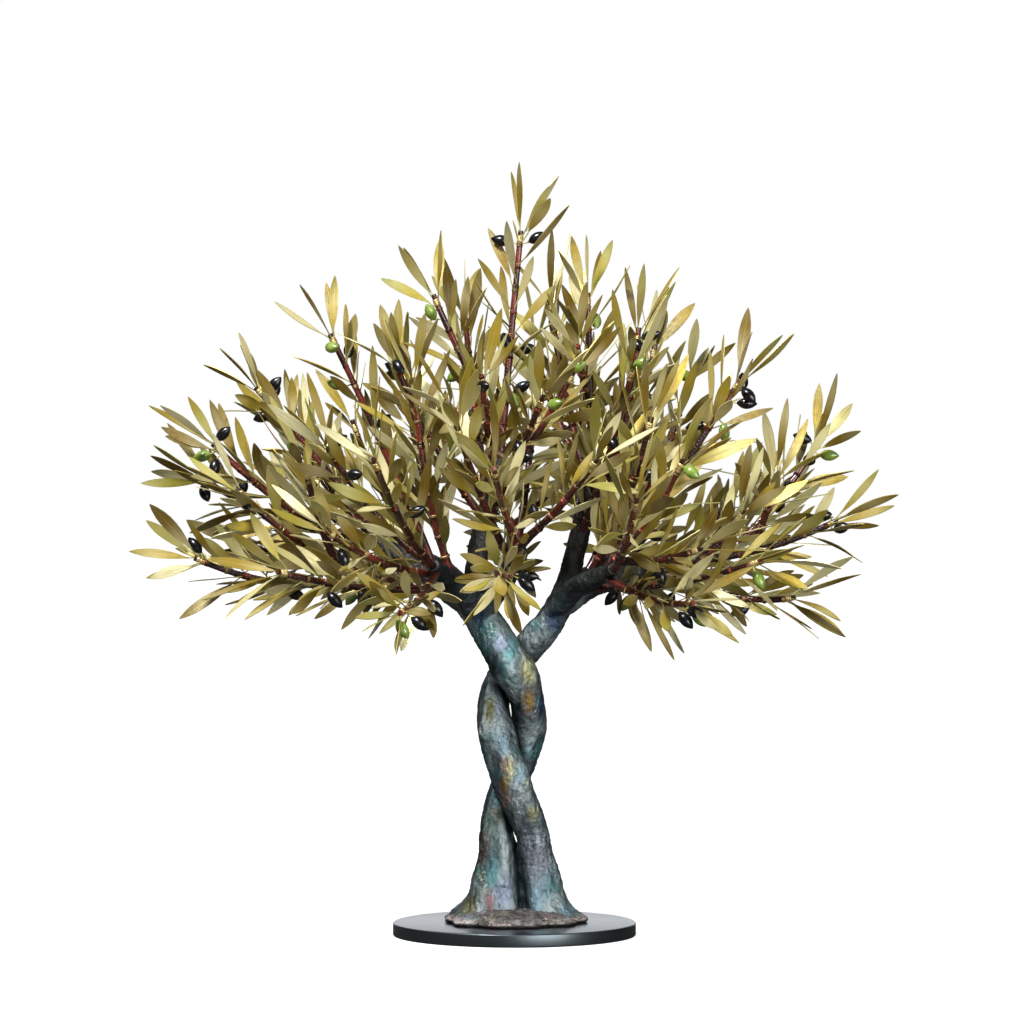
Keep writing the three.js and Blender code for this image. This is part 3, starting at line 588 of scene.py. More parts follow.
def draws_for(kind, number):
    first, step = SEEDS[kind]
    return Draws(first + number * step)


class Bent:
    """A curve with a root, a middle that draws it and an end."""

    def __init__(self, root, middle, end):
        self.root, self.middle, self.end = root, middle, end

    def point(self, along):
        back = 1 - along
        return back * back * self.root + 2 * back * along * self.middle + along * along * self.end

    def direction(self, along):
        return unit((self.middle - self.root) * (1 - along) + (self.end - self.middle) * along)


class Stations:
    """A smooth curve through given sections, each with a radius."""

    def __init__(self, rows):
        self.places = np.array([row[:3] for row in rows], float)
        self.radii = np.array([row[3] for row in rows], float)
        first = 2 * self.places[0] - self.places[1]
        last = 2 * self.places[-1] - self.places[-2]
        self.held = np.vstack([first, self.places, last])

    def point(self, along):
        place = along * (len(self.places) - 1)
        before = min(int(place), len(self.places) - 2)
        t = place - before
        p0, p1, p2, p3 = self.held[before:before + 4]
        leave, arrive = (p2 - p0) / 2, (p3 - p1) / 2
        square = -3 * p1 + 3 * p2 - 2 * leave - arrive
        cube = 2 * p1 - 2 * p2 + leave + arrive
        return p1 + leave * t + square * t * t + cube * t**3

    def radius(self, along):
        place = along * (len(self.radii) - 1)
        before = min(int(place), len(self.radii) - 2)
        return mix(self.radii[before], self.radii[before + 1], place - before)


# Where the stems, leaves and olives go, by the rule that places the solids

LIMB_CURVES = {name: Stations(rows) for name, (_, *rows) in LIMBS.items()}


def stem_curve(name):
    parent, along, tip, depth = STEMS[name]
    carrier = LIMB_CURVES[parent] if parent in LIMBS else stem_curve(parent)
    root = carrier.point(along)
    end = np.array(tip, float)
    outwards = end - root
    outwards[2] = 0
    middle = (root + end) / 2 - depth * UP + unit(outwards) * depth / 2
    return Bent(root, middle, end)


CURVES = {name: stem_curve(name) for name in STEMS}


def node_of(name):
    """The stem on a limb that a side stem belongs to, or the stem itself."""
    parent = STEMS[name][0]
    return name if parent in LIMBS else node_of(parent)


def stem_radius(along):
    return mix(STEM_ROOT_RADIUS, STEM_TIP_RADIUS, along)


def stem_steps(name):
    return max(2, math.ceil(math.sqrt(abs(STEMS[name][3]) / 2)))


def on_stem(name, along):
    """A point on the straight pieces that make the stem's solid."""
    steps = stem_steps(name)
    before = min(int(along * steps), steps - 1)
    start = CURVES[name].point(before / steps)
    end = CURVES[name].point((before + 1) / steps)
    return start + (end - start) * (along * steps - before)


def away_from(forward, turn):
    """A direction square to forward, turned round it."""
    across = unit(np.cross(forward, UP))
    above = np.cross(across, forward)
    return across * math.cos(turn) + above * math.sin(turn)


class Placed:
    """The straight pieces with a thickness that stand for what is already in place."""

    def __init__(self, most=20000):
        self.count = 0
        self.start = np.zeros((most, 3))
        self.end = np.zeros((most, 3))
        self.radius = np.zeros(most)
        self.node = np.zeros(most, int)
        self.collar = np.zeros(most, int)

    def add(self, start, end, radius, node, collar):
        i = self.count
        self.start[i], self.end[i], self.radius[i] = start, end, radius
        self.node[i], self.collar[i] = node, collar
        self.count += 1

    def has_room(self, start, end, radius, margin, tested):
        starts, ends = self.start[:self.count], self.end[:self.count]
        reach = self.radius[:self.count] + radius + margin
        halves = np.linalg.norm(ends - starts, axis=1) / 2 + np.linalg.norm(end - start) / 2
        apart = np.linalg.norm((starts + ends - start - end) / 2, axis=1)
        near = tested & (apart <= reach + halves)
        if not near.any():
            return True
        return bool((least_distance(start, end, starts[near], ends[near]) > reach[near]).all())


def least_distance(start, end, starts, ends):
    """Least distance from one straight piece to each of many."""
    along, others, apart = end - start, ends - starts, start - starts
    a = along @ along
    e = (others * others).sum(1)
    f = (others * apart).sum(1)
    b = others @ along
    c = apart @ along
    area = a * e - b * b
    s = np.where(area > 1e-9, np.clip((b * f - c * e) / np.where(area > 1e-9, area, 1), 0, 1), 0)
    t = (b * s + f) / e
    s = np.where(t < 0, np.clip(-c / a, 0, 1), np.where(t > 1, np.clip((b - c) / a, 0, 1), s))
    t = np.clip(t, 0, 1)
    return np.linalg.norm(apart + along * s[:, None] - others * t[:, None], axis=1)


def leaf_seed(number, collar, leaf_number):
    return sum(step * count for step, count in zip(SEED_STEPS, (number, collar, leaf_number)))


def leaf_from(name, along, turn, spread, draw):
    root = on_stem(name, along)
    forward = CURVES[name].direction(along)
    away = away_from(forward, turn + (draw() - 0.5) * LEAF_TURN)
    opening = spread * mix(*LEAF_OPENING, draw())
    direction = forward * math.cos(opening) + away * math.sin(opening)
    direction = unit(direction + UP * mix(*LEAF_LIFT, draw()))
    face = np.cross(UP, direction) * (1 if draw() < 0.5 else -1)
    face = face + UP * FACE_LIFT + forward * FACE_FORWARD
    face = unit(face - direction * (face @ direction))
    face = turned(face, direction, (draw() - 0.5) * LEAF_ROLL)
    leaf = SimpleNamespace(name=name, root=root, direction=direction, face=face, along=along)
    leaf.stalk = mix(*STALK_LENGTH, draw())
    leaf.length = mix(*LEAF_LENGTH, draw())
    leaf.width = mix(*LEAF_WIDTH, draw())
    leaf.bend = mix(*LEAF_BEND, draw())
    return leaf


def on_midline(leaf, distance):
    out = max(0, distance - leaf.stalk) / leaf.length
    return leaf.root + leaf.direction * distance - leaf.face * leaf.bend * leaf.length * out * out


def leaf_pieces(leaf):
    """The straight pieces that stand for a leaf: its start, its end and its radius."""
    ends = [leaf.stalk + leaf.length * share for share in ROOM_ENDS]
    points = [on_midline(leaf, distance) for distance in [STEM_ROOT_RADIUS, *ends]]
    radii = [STALK_WIDTH / 2, *[share * leaf.width for share in ROOM_WIDTHS]]
    return list(zip(points, points[1:], radii))


class Crown:
    """All the leaves and olives, each placed only where it has room."""

    def __init__(self):
        self.placed = Placed()
        self.numbers = {name: i for i, name in enumerate(STEMS)}
        self.leaves = []
        self.olives = []
        self.collars = []
        self.next_collar = 1
        for curve in LIMB_CURVES.values():
            self.lay(curve, LIMB_PIECES, curve.radius, -1)
        for name, curve in CURVES.items():
            self.lay(curve, STEM_PIECES, stem_radius, self.numbers[node_of(name)])
        self.hang_olives(extra=False)
        self.grow_leaves()
        self.grow_extra_leaves()
        self.hang_olives(extra=True)

    def lay(self, curve, pieces, radius_at, node):
        points = [curve.point(i / pieces) for i in range(pieces + 1)]
        for i, (start, end) in enumerate(zip(points, points[1:])):
            self.placed.add(start, end, radius_at((i + 0.5) / pieces), node, 0)

    def olive_at(self, right, high, side, number):
        target = np.array([right * -side, 0.0, high])
        first, last, step = OLIVE_PLACES
        best = math.inf
        for name in CURVES:
            along = first
            while along < last:
                place = on_stem(name, along)
                aside = math.hypot(place[0] - target[0], place[2] - target[2])
                cost = aside - side * place[1] * OLIVE_NEARNESS
                if cost < best:
                    best, found, stem = cost, name, place
                along += step
        draw = Draws(OLIVE_SEED + number)
        target[1] = stem[1] + side * OLIVE_STALK
        hang = unit(target - stem)
        tilt = (draw() - 0.5) * OLIVE_TILT
        lean = -1 if draw() < 0.5 else 1
        axis = np.array([math.cos(tilt) * lean, 0, math.sin(tilt) - OLIVE_DROOP])
        axis = unit(axis + hang * OLIVE_FOLLOW)
        start = stem + hang * OLIVE_STALK
        end = start + axis * OLIVE_LENGTH
        return SimpleNamespace(name=found, stem=stem, start=start, axis=axis, end=end)

    def hang_olive(self, i, side):
        """Hangs olive i on the front, where side is -1, or its twin on the back, if it has room."""
        right, high = (BLACK_OLIVES + GREEN_OLIVES)[i]
        olive = self.olive_at(right, high, side, i * 2 + (side + 1) // 2)
        node = self.numbers[node_of(olive.name)]
        tested = self.placed.node[:self.placed.count] != node
        if not self.placed.has_room(olive.start, olive.end, OLIVE_DIAMETER / 2, ROOM, tested):
            return
        self.placed.add(olive.start, olive.end, OLIVE_DIAMETER / 2, node, 0)
        olive.green = i >= len(BLACK_OLIVES)
        self.olives.append(olive)

    def hang_olives(self, extra):
        """The solids have every second olive on the front and every fourth on the back. The rest is extra."""
        for i in range(len(BLACK_OLIVES + GREEN_OLIVES)):
            for side, step in ((-1, 2), (1, 4)):
                if bool(i % step) == extra:
                    self.hang_olive(i, side)

    def keep(self, leaf, collar, margin):
        """Puts the leaf in place if it has room."""
        node = self.numbers[node_of(leaf.name)]
        nodes = self.placed.node[:self.placed.count]
        collars = self.placed.collar[:self.placed.count]
        pieces = leaf_pieces(leaf)
        for i, (start, end, radius) in enumerate(pieces):
            tested = nodes != node if i == 0 else collars != collar
            if not self.placed.has_room(start, end, radius, margin, tested):
                return False
        for start, end, radius in pieces:
            self.placed.add(start, end, radius, node, collar)
        self.leaves.append(leaf)
        return True

    def lay_collars(self, bare_share, from_tip, spacing, most):
        """Goes along every stem from its tip and gives each collar's stem, number and share of the way."""
        for name, curve in CURVES.items():
            reach = np.linalg.norm(curve.end - curve.root)
            collars = int((reach * (1 - bare_share) - from_tip) // spacing) + 1
            for collar in range(min(collars, most)):
                along = 1 - (from_tip + collar * spacing) / reach
                self.collars.append((name, along))
                self.next_collar += 1
                yield name, collar, along

    def grow_leaves(self):
        rows = self.lay_collars(BARE_SHARE, COLLAR_FROM_TIP, COLLAR_SPACING, MOST_COLLARS)
        for name, collar, along in rows:
            number = self.numbers[name]
            spread = SIDE_SPREAD if collar else TIP_SPREAD
            for leaf_number in range(1 if collar else TIP_LEAVES):
                seed = leaf_seed(number, collar, leaf_number)
                for attempt in range(TRIES):
                    side = 2 * collar + 2 * leaf_number + number + attempt
                    turn = (side + 0.5) * 2 * math.pi / STEM_SIDES
                    leaf = leaf_from(name, along, turn, spread, Draws(seed + attempt))
                    if self.keep(leaf, self.next_collar, ROOM):
                        break

    def grow_extra_leaves(self):
        rows = self.lay_collars(BARE_SHARE / 2, EXTRA_FROM_TIP, EXTRA_SPACING, MOST_EXTRA_COLLARS)
        for name, collar, along in rows:
            side_leaves = HIGH_SIDE_LEAVES if CURVES[name].end[2] > HIGH_TIP else EXTRA_SIDE_LEAVES
            spread = EXTRA_SPREAD if collar else TIP_SPREAD
            for leaf_number in range(side_leaves if collar else EXTRA_TIP_LEAVES):
                seed = EXTRA_SEED + leaf_seed(self.numbers[name], collar, leaf_number)
                for attempt in range(TRIES):
                    draw = Draws(seed + attempt)
                    turn = draw() * 2 * math.pi
                    leaf = leaf_from(name, along, turn, spread, draw)
                    leaf.length *= mix(*EXTRA_SHORTNESS, draw())
                    if self.keep(leaf, self.next_collar, EXTRA_ROOM):
                        break


# Meshes


def deselect():
    if bpy.context.mode != "OBJECT":
        bpy.ops.object.mode_set(mode="OBJECT")
    bpy.ops.object.select_all(action="DESELECT")


def choose(piece):
    deselect()
    piece.select_set(True)
    bpy.context.view_layer.objects.active = piece


@contextmanager
def editing(piece):
    """Edit mode with all of the piece selected."""
    choose(piece)
    bpy.ops.object.mode_set(mode="EDIT")
    bpy.ops.mesh.select_all(action="SELECT")
    yield
    bpy.ops.object.mode_set(mode="OBJECT")


def read_points(mesh, key="co"):
    points = np.empty(len(mesh.vertices) * 3, np.float32)
    mesh.vertices.foreach_get(key, points)
    return points.reshape(-1, 3).astype(float)


def write_points(mesh, points):
    mesh.vertices.foreach_set("co", np.asarray(points, np.float32).ravel())
    mesh.update()


def write_values(mesh, name, values):
    """Writes a value for each point, or one for all."""
    attribute = mesh.attributes.get(name) or mesh.attributes.new(name, "FLOAT", "POINT")
    attribute.data.foreach_set("value", np.full(len(mesh.vertices), values, np.float32))


def finish_piece(piece, slot, *nodes):
    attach(piece, BODY)
    if nodes:
        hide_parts(*nodes)


def dress(piece, degrees, name, make):
    """Smooths a piece up to an angle and gives it its material, which is made once."""
    choose(piece)
    bpy.ops.object.shade_smooth_by_angle(angle=math.radians(degrees))
    piece.data.materials.clear()
    piece.data.materials.append(bpy.data.materials.get(name) or make(name))


def joined(pieces, name):
    deselect()
    for piece in pieces:
        piece.select_set(True)
    bpy.context.view_layer.objects.active = pieces[0]
    if len(pieces) > 1:
        bpy.ops.object.join()
    pieces[0].name = name
    pieces[0].data.name = name
    return pieces[0]


def copied(blank, name, place):
    """A copy with its own mesh, whose points are moved to their places in millimetres."""
    piece = bpy.data.objects.new(name, blank.data.copy())
    bpy.context.scene.collection.objects.link(piece)
    write_points(piece.data, place(read_points(piece.data)) * MM)
    return piece


def rolled(name, columns, rows, place, scale=MM):
    """A grid sheet whose points go to place(column, row), with its seam merged and its ends filled."""
    deselect()
    bpy.ops.mesh.primitive_grid_add(x_subdivisions=columns, y_subdivisions=rows, size=2)
    piece = bpy.context.object
    piece.name = name
    piece.data.name = name
    flat = read_points(piece.data)
    column = np.rint((flat[:, 0] + 1) / 2 * columns).astype(int)
    row = np.rint((flat[:, 1] + 1) / 2 * rows).astype(int)
    write_points(piece.data, place(column, row) * scale)
    with editing(piece):
        bpy.ops.mesh.remove_doubles(threshold=1e-4 * scale)
        bpy.ops.mesh.fill_holes(sides=0)
        bpy.ops.mesh.select_all(action="SELECT")
        bpy.ops.mesh.normals_make_consistent(inside=False)
    return piece


def tube(name, centres, across, above, radii, sides, scale=MM):
    """A rolled sheet round a row of centres. radii has one number for a ring, or one for each side."""
    centres, across, above = np.array(centres), np.array(across), np.array(above)
    radii = np.array(radii, float)
    if radii.ndim == 1:
        radii = np.repeat(radii[:, None], sides, axis=1)

    def place(column, row):
        angle = 2 * math.pi * (column % sides) / sides
        offset = across[row] * np.cos(angle)[:, None] + above[row] * np.sin(angle)[:, None]
        return centres[row] + offset * radii[row, column % sides][:, None]

    return rolled(name, sides, len(centres) - 1, place, scale)


def straight_tube(name, places, radii, sides):
    """A tube along X, for a blank that is copied."""
    count = len(places)
    centres = [(place, 0, 0) for place in places]
    return tube(name, centres, [(0, 1, 0)] * count, [(0, 0, 1)] * count, radii, sides, scale=1)


def modified(piece, kind, **settings):
    choose(piece)
    modifier = piece.modifiers.new(kind.title(), kind)
    for key, value in settings.items():
        setattr(modifier, key, value)
    bpy.ops.object.modifier_apply(modifier=modifier.name)


# Materials


def add_node(tree, kind, inputs=None, **settings):
    node = tree.nodes.new(kind)
    for key, value in settings.items():
        setattr(node, key, value)
    for key, value in (inputs or {}).items():
        if isinstance(value, bpy.types.NodeSocket):
            tree.links.new(value, node.inputs[key])
        else:
            node.inputs[key].default_value = value
    return node


def rgba(colour):
    return (*colour[:3], 1)


class Finish:
    """A material and short ways to add what its colour and surface are made of."""

    def __init__(self, name, **shader):
        self.material = bpy.data.materials.new(name)
        self.material.use_nodes = True
        self.tree = self.material.node_tree
        self.shader = self.tree.nodes["Principled BSDF"]
        self.coordinates = add_node(self.tree, "ShaderNodeTexCoord").outputs["Object"]
        for key, value in shader.items():
            self.shader.inputs[key.replace("_", " ").title().replace("Ior", "IOR")].default_value = value

    def set(self, key, socket):
        self.tree.links.new(socket, self.shader.inputs[key])

    def attribute(self, name):
        return add_node(self.tree, "ShaderNodeAttribute", attribute_name=name).outputs["Fac"]

    def mottle(self, scale, low, high, stretch=(1, 1, 1), shift=0, rough=0.55):
        """A mask of soft spots. scale is the number of spots in a metre."""
        inputs = {"Stretch": stretch, "Scale": scale, "Shift": shift}
        inputs.update({"Low": low, "High": high, "Rough": rough})
        return add_node(self.tree, "ShaderNodeGroup", inputs, node_tree=mottle_group()).outputs["Mask"]

    def folded(self):
        """Places with the back turned half round onto the front."""
        apart = add_node(self.tree, "ShaderNodeSeparateXYZ", {0: self.coordinates}).outputs
        across = self.times(apart["X"], self.times(self.maths("SIGN", apart["Y"]), -1.0))
        behind = self.times(self.maths("ABSOLUTE", apart["Y"]), -1.0)
        inputs = {"X": across, "Y": behind, "Z": apart["Z"]}
        return add_node(self.tree, "ShaderNodeCombineXYZ", inputs).outputs[0]

    def patch(self, place, ragged, centre, reach):
        """A mask round one place with a ragged edge, centre and reach in millimetres."""
        inputs = {"Place": place, "Ragged": ragged}
        inputs["Centre"] = [value * MM for value in centre]
        inputs["Reach"] = [value * MM for value in reach]
        return add_node(self.tree, "ShaderNodeGroup", inputs, node_tree=patch_group()).outputs["Mask"]

    def mixed(self, mask, first, second):
        node = add_node(self.tree, "ShaderNodeMix", data_type="RGBA")
        sockets = node.inputs["Factor"], node.inputs[6], node.inputs[7]
        for socket, value in zip(sockets, (mask, first, second)):
            if isinstance(value, bpy.types.NodeSocket):
                self.tree.links.new(value, socket)
            else:
                socket.default_value = value if isinstance(value, float) else rgba(value)
        return node.outputs[2]

    def maths(self, operation, *values, clamp=False):
        node = add_node(self.tree, "ShaderNodeMath", operation=operation, use_clamp=clamp)
        for socket, value in zip(node.inputs, values):
            if isinstance(value, bpy.types.NodeSocket):
                self.tree.links.new(value, socket)
            else:
                socket.default_value = value
        return node.outputs[0]

    def times(self, first, second):
        return self.maths("MULTIPLY", first, second)

    def ranged(self, value, low, high, to_low=0.0, to_high=1.0):
        inputs = {"Value": value, "From Min": low, "From Max": high, "To Min": to_low, "To Max": to_high}
        return add_node(self.tree, "ShaderNodeMapRange", inputs).outputs["Result"]

    def bump(self, height, depth, strength=1.0, under=None):
        """A bump whose height of 1 stands for a depth in millimetres."""
        inputs = {"Height": height, "Distance": depth * MM, "Strength": strength}
        if under is not None:
            inputs["Normal"] = under
        return add_node(self.tree, "ShaderNodeBump", inputs).outputs["Normal"]

    def noise(self, scale, detail=4.0, stretch=None, rough=0.55, vector=None):
        vector = vector or self.coordinates
        if stretch:
            vector = add_node(self.tree, "ShaderNodeMapping", {"Vector": vector, "Scale": stretch}).outputs[0]
        inputs = {"Vector": vector, "Scale": scale, "Detail": detail, "Roughness": rough}
        return add_node(self.tree, "ShaderNodeTexNoise", inputs).outputs["Fac"]

    def upward(self, vector=None):
        """Height, or how far up another vector points."""
        return add_node(self.tree, "ShaderNodeSeparateXYZ", {0: vector or self.coordinates}).outputs["Z"]

    def wear(self, scale, low, high):
        """Roughness that goes from low to high in spots."""
        self.set("Roughness", self.ranged(self.noise(scale), 0.3, 0.7, low, high))


def new_group(name, floats, vectors, vector_defaults):
    group = bpy.data.node_groups.new(name, "ShaderNodeTree")
    for key, value in floats.items():
        group.interface.new_socket(key, in_out="INPUT", socket_type="NodeSocketFloat").default_value = value
    for key, value in zip(vectors, vector_defaults):
        group.interface.new_socket(key, in_out="INPUT", socket_type="NodeSocketVector").default_value = value
    group.interface.new_socket("Mask", in_out="OUTPUT", socket_type="NodeSocketFloat")
    return group, group.nodes.new("NodeGroupInput"), group.nodes.new("NodeGroupOutput")


def mottle_group():
    """Soft spots of any size and stretch, as a mask."""
    if "Mottle" in bpy.data.node_groups:
        return bpy.data.node_groups["Mottle"]
    floats = {"Scale": 100, "Shift": 0, "Low": 0.4, "High": 0.6, "Rough": 0.55}
    group, given, out = new_group("Mottle", floats, ["Stretch"], [(1, 1, 1)])
    given = given.outputs
    place = add_node(group, "ShaderNodeTexCoord").outputs["Object"]
    inputs = {"Vector": place, "Scale": given["Stretch"]}
    stretched = add_node(group, "ShaderNodeMapping", inputs).outputs[0]
    inputs = {"W": given["Shift"], "Scale": given["Scale"], "Roughness": given["Rough"]}
    inputs.update({"Vector": stretched, "Detail": 5})
    spots = add_node(group, "ShaderNodeTexNoise", inputs, noise_dimensions="4D").outputs["Fac"]
    inputs = {"Value": spots, "From Min": given["Low"], "From Max": given["High"]}
    mask = add_node(group, "ShaderNodeMapRange", inputs, interpolation_type="SMOOTHSTEP")
    group.links.new(mask.outputs["Result"], out.inputs["Mask"])
    return group


def patch_group():
    """A soft patch round one place, broken up at its edge."""
    if "Patch" in bpy.data.node_groups:
        return bpy.data.node_groups["Patch"]
    defaults = [(0, 0, 0), (0, 0, 0), (1, 1, 1)]
    group, given, out = new_group("Patch", {"Ragged": 0.5}, ["Place", "Centre", "Reach"], defaults)
    given = given.outputs
    inputs = {0: given["Place"], 1: given["Centre"]}
    away = add_node(group, "ShaderNodeVectorMath", inputs, operation="SUBTRACT").outputs[0]
    inputs = {0: away, 1: given["Reach"]}
    shares = add_node(group, "ShaderNodeVectorMath", inputs, operation="DIVIDE").outputs[0]
    length = add_node(group, "ShaderNodeVectorMath", {0: shares}, operation="LENGTH").outputs["Value"]
    inputs = {0: given["Ragged"], 1: 2.4, 2: length}
    edge = add_node(group, "ShaderNodeMath", inputs, operation="MULTIPLY_ADD")
    inputs = {"Value": edge.outputs[0], "From Min": 2.8, "From Max": 1.3}
    mask = add_node(group, "ShaderNodeMapRange", inputs, interpolation_type="SMOOTHSTEP")
    group.links.new(mask.outputs["Result"], out.inputs["Mask"])
    return group


# Paint on the trunks: colour, centre and reach of each patch on the front. The back wears the same patches
# turned half round, as the trunks' winding does. Some are broken into specks and some into streaks. The
# near-black patches are painted shade, in the seam between the two feet and where the strands cross.

SPECKED = ("mint", "frost")
STREAKED = ("ochre", "copper", "rose", "lime_gold")
PAINT_PATCHES = [
    ("charcoal", (12, -14, 47), (14, 16, 19)),
    ("bark_brown", (-20, -10, 56), (5, 14, 16)),
    ("moss", (-12, -12, 73), (6, 12, 9)),
    ("sea_blue", (13, -18, 22), (9, 12, 9)),
    ("ash", (24, -14, 20), (7, 12, 7)),
    ("lilac", (-6.5, -14, 27), (6, 12, 11)),
    ("painted_shade", (2.6, -15, 47), (2.6, 12, 12)),
    ("painted_shade", (4.4, -15, 30), (3.7, 12, 15)),
    ("painted_shade", (6, -17, 17), (4.3, 12, 9)),
    ("ash", (-5.5, -12, 52), (3.6, 10, 13)),
    ("ash", (-8.6, -6, 67), (2.6, 12, 6)),
    ("rose", (-15, -16, 21), (3, 10, 8)),
    ("rose", (-27, -16, 13), (4, 12, 6)),
    ("frost", (-31, -10, 15), (6, 12, 7)),
    ("frost", (25, -14, 15), (9, 12, 7)),
    ("sea_blue", (31, -8, 14), (6, 12, 7)),
    ("moss", (-29, -12, 19), (7, 12, 7)),
    ("mint", (-21, -12, 34), (4, 10, 8)),
    ("turquoise", (-14, -14, 40), (3.5, 10, 8)),
    ("sea_blue", (2, -20, 99), (5, 10, 9)),
    ("lime_gold", (-3, -22, 104), (4, 12, 9)),
    ("copper", (-6, -22, 106), (2.6, 12, 9)),
    ("ochre", (-6, -20, 93), (2.6, 12, 7)),
    ("copper", (-3.4, -20, 85), (3.2, 10, 5)),
    ("lime_gold", (11, -16, 76), (3.4, 10, 5)),
    ("mint", (7, -16, 95), (3, 10, 8)),
    ("ash", (-7, -18, 126), (7, 12, 17)),
    ("lilac", (-10, -16, 141), (3.4, 12, 6)),
    ("ash", (1.5, -20, 88), (6, 12, 9)),
    ("moss", (-15, -14, 139), (3.6, 12, 9)),
    ("frost", (-20, -12, 127), (2.2, 9, 5)),
    ("painted_shade", (-13, -12, 165), (7, 10, 10)),
    ("frost", (11, -12, 125), (8, 14, 12)),
    ("ash", (11, -12, 125), (7, 14, 12)),
    ("sea_blue", (9, -8, 109), (7, 14, 9)),
    ("sea_blue", (-7, -18, 118), (5, 12, 9)),
    ("deep_blue", (18, -8, 141), (3, 12, 14)),
    ("painted_shade", (2.6, -12, 144), (2.4, 10, 9)),
    ("lime_gold", (8.3, -16, 164), (4.6, 12, 9)),
    ("ochre", (8.6, -16, 146), (3.2, 12, 8)),
    ("turquoise", (-2.5, -20, 178), (5, 12, 9)),
    ("lilac", (-9, -18, 181), (5, 12, 5)),
    ("turquoise", (-17, -16, 189), (6, 12, 7)),
    ("mint", (-14, -17, 190), (3, 10, 5)),
    ("deep_blue", (-22, -14, 198), (6, 12, 8)),
    ("ash", (13, -6, 180), (6, 10, 7)),
    ("deep_blue", (26, -6, 193), (7, 12, 9)),
]


def make_trunk_paint(name):
    colour = colours()
    finish = Finish(name, specular_ior_level=0.5)
    paint = finish.mixed(finish.mottle(80, 0.4, 0.64, stretch=(1, 1, 0.45)), colour.slate, colour.ash)
    paint = finish.mixed(finish.mottle(42, 0.5, 0.66, shift=3), paint, colour.turquoise)
    paint = finish.mixed(finish.mottle(48, 0.54, 0.68, shift=6), paint, colour.mauve)
    bare = finish.mottle(90, 0.5, 0.66, stretch=(1, 1, 0.4), shift=9)
    paint = finish.mixed(finish.times(bare, 0.55), paint, colour.bark_brown)
    specks = finish.mottle(520, 0.5, 0.62, shift=1)
    streaks = finish.mottle(240, 0.26, 0.56, stretch=(1, 1, 0.4), shift=4)
    place, ragged = finish.folded(), finish.noise(150, 5, stretch=(1, 1, 0.5), rough=0.65)
    for key, centre, reach in PAINT_PATCHES:
        mask = finish.patch(place, ragged, centre, reach)
        if key in SPECKED:
            mask = finish.times(mask, specks)
        elif key in STREAKED:
            mask = finish.times(mask, streaks)
        paint = finish.mixed(mask, paint, getattr(colour, key))
    relief = finish.attribute("relief")
    # Painted highlight: pale specks on the lumps of the bark that stand out
    raised_highlight = finish.times(finish.ranged(relief, 0.1, 0.7, 0, 0.75), specks)
    paint = finish.mixed(raised_highlight, paint, colour.frost)
    fine = finish.noise(700, 6, rough=0.65)
    # Painted shade: near-black specks in the low spots of the fine bump, and near-black in the carved creases
    paint = finish.mixed(finish.ranged(fine, 0.4, 0.3, 0, 0.45), paint, colour.painted_shade)
    paint = finish.mixed(finish.ranged(relief, -0.3, -1.0, 0, 0.72), paint, colour.painted_shade)
    height = finish.upward()
    # Above the fork the limbs turn dark brown: their own bark, painted darker as shade under the crown
    paint = finish.mixed(finish.ranged(height, 0.198, 0.222, 0, 0.85), paint, colour.limb_brown_and_shade)
    # Painted shade: near-black close to the other trunk, where shade falls between them, and on the flanks
    # that turn away from the view, less so near the feet
    between = finish.maths("POWER", finish.attribute("painted_shade"), 1.1)
    facing = add_node(finish.tree, "ShaderNodeLayerWeight", {"Blend": 0.5}).outputs["Facing"]
    turning = finish.ranged(facing, 0.3, 0.9, 0, 0.85)
    flank = finish.times(turning, finish.ranged(height, 0.015, 0.05, 0.3, 1))
    dark = finish.maths("MAXIMUM", between, flank)
    paint = finish.mixed(dark, paint, colour.painted_shade)
    # Painted highlight on the rims round the scars, and painted shade in the sunken eyes inside them
    paint = finish.mixed(finish.times(finish.attribute("rim"), 0.8), paint, colour.frost)
    eye = finish.attribute("eye")
    paint = finish.mixed(eye, paint, colour.painted_shade)
    finish.set("Base Color", paint)
    # The painted shade and the scars' eyes also lose their reflection
    finish.set("Specular IOR Level", finish.ranged(finish.maths("MAXIMUM", dark, eye), 0, 0.8, 0.5, 0.05))
    finish.set("Metallic", finish.ranged(bare, 0, 1, 0.72, 0.3))
    finish.wear(240, 0.34, 0.54)
    creases = finish.noise(240, 6, stretch=(1, 1, 0.7), rough=0.6)
    normal = finish.bump(creases, 2.4, 0.9)
    finish.set("Normal", finish.bump(fine, 0.3, 0.5, under=normal))
    return finish.material


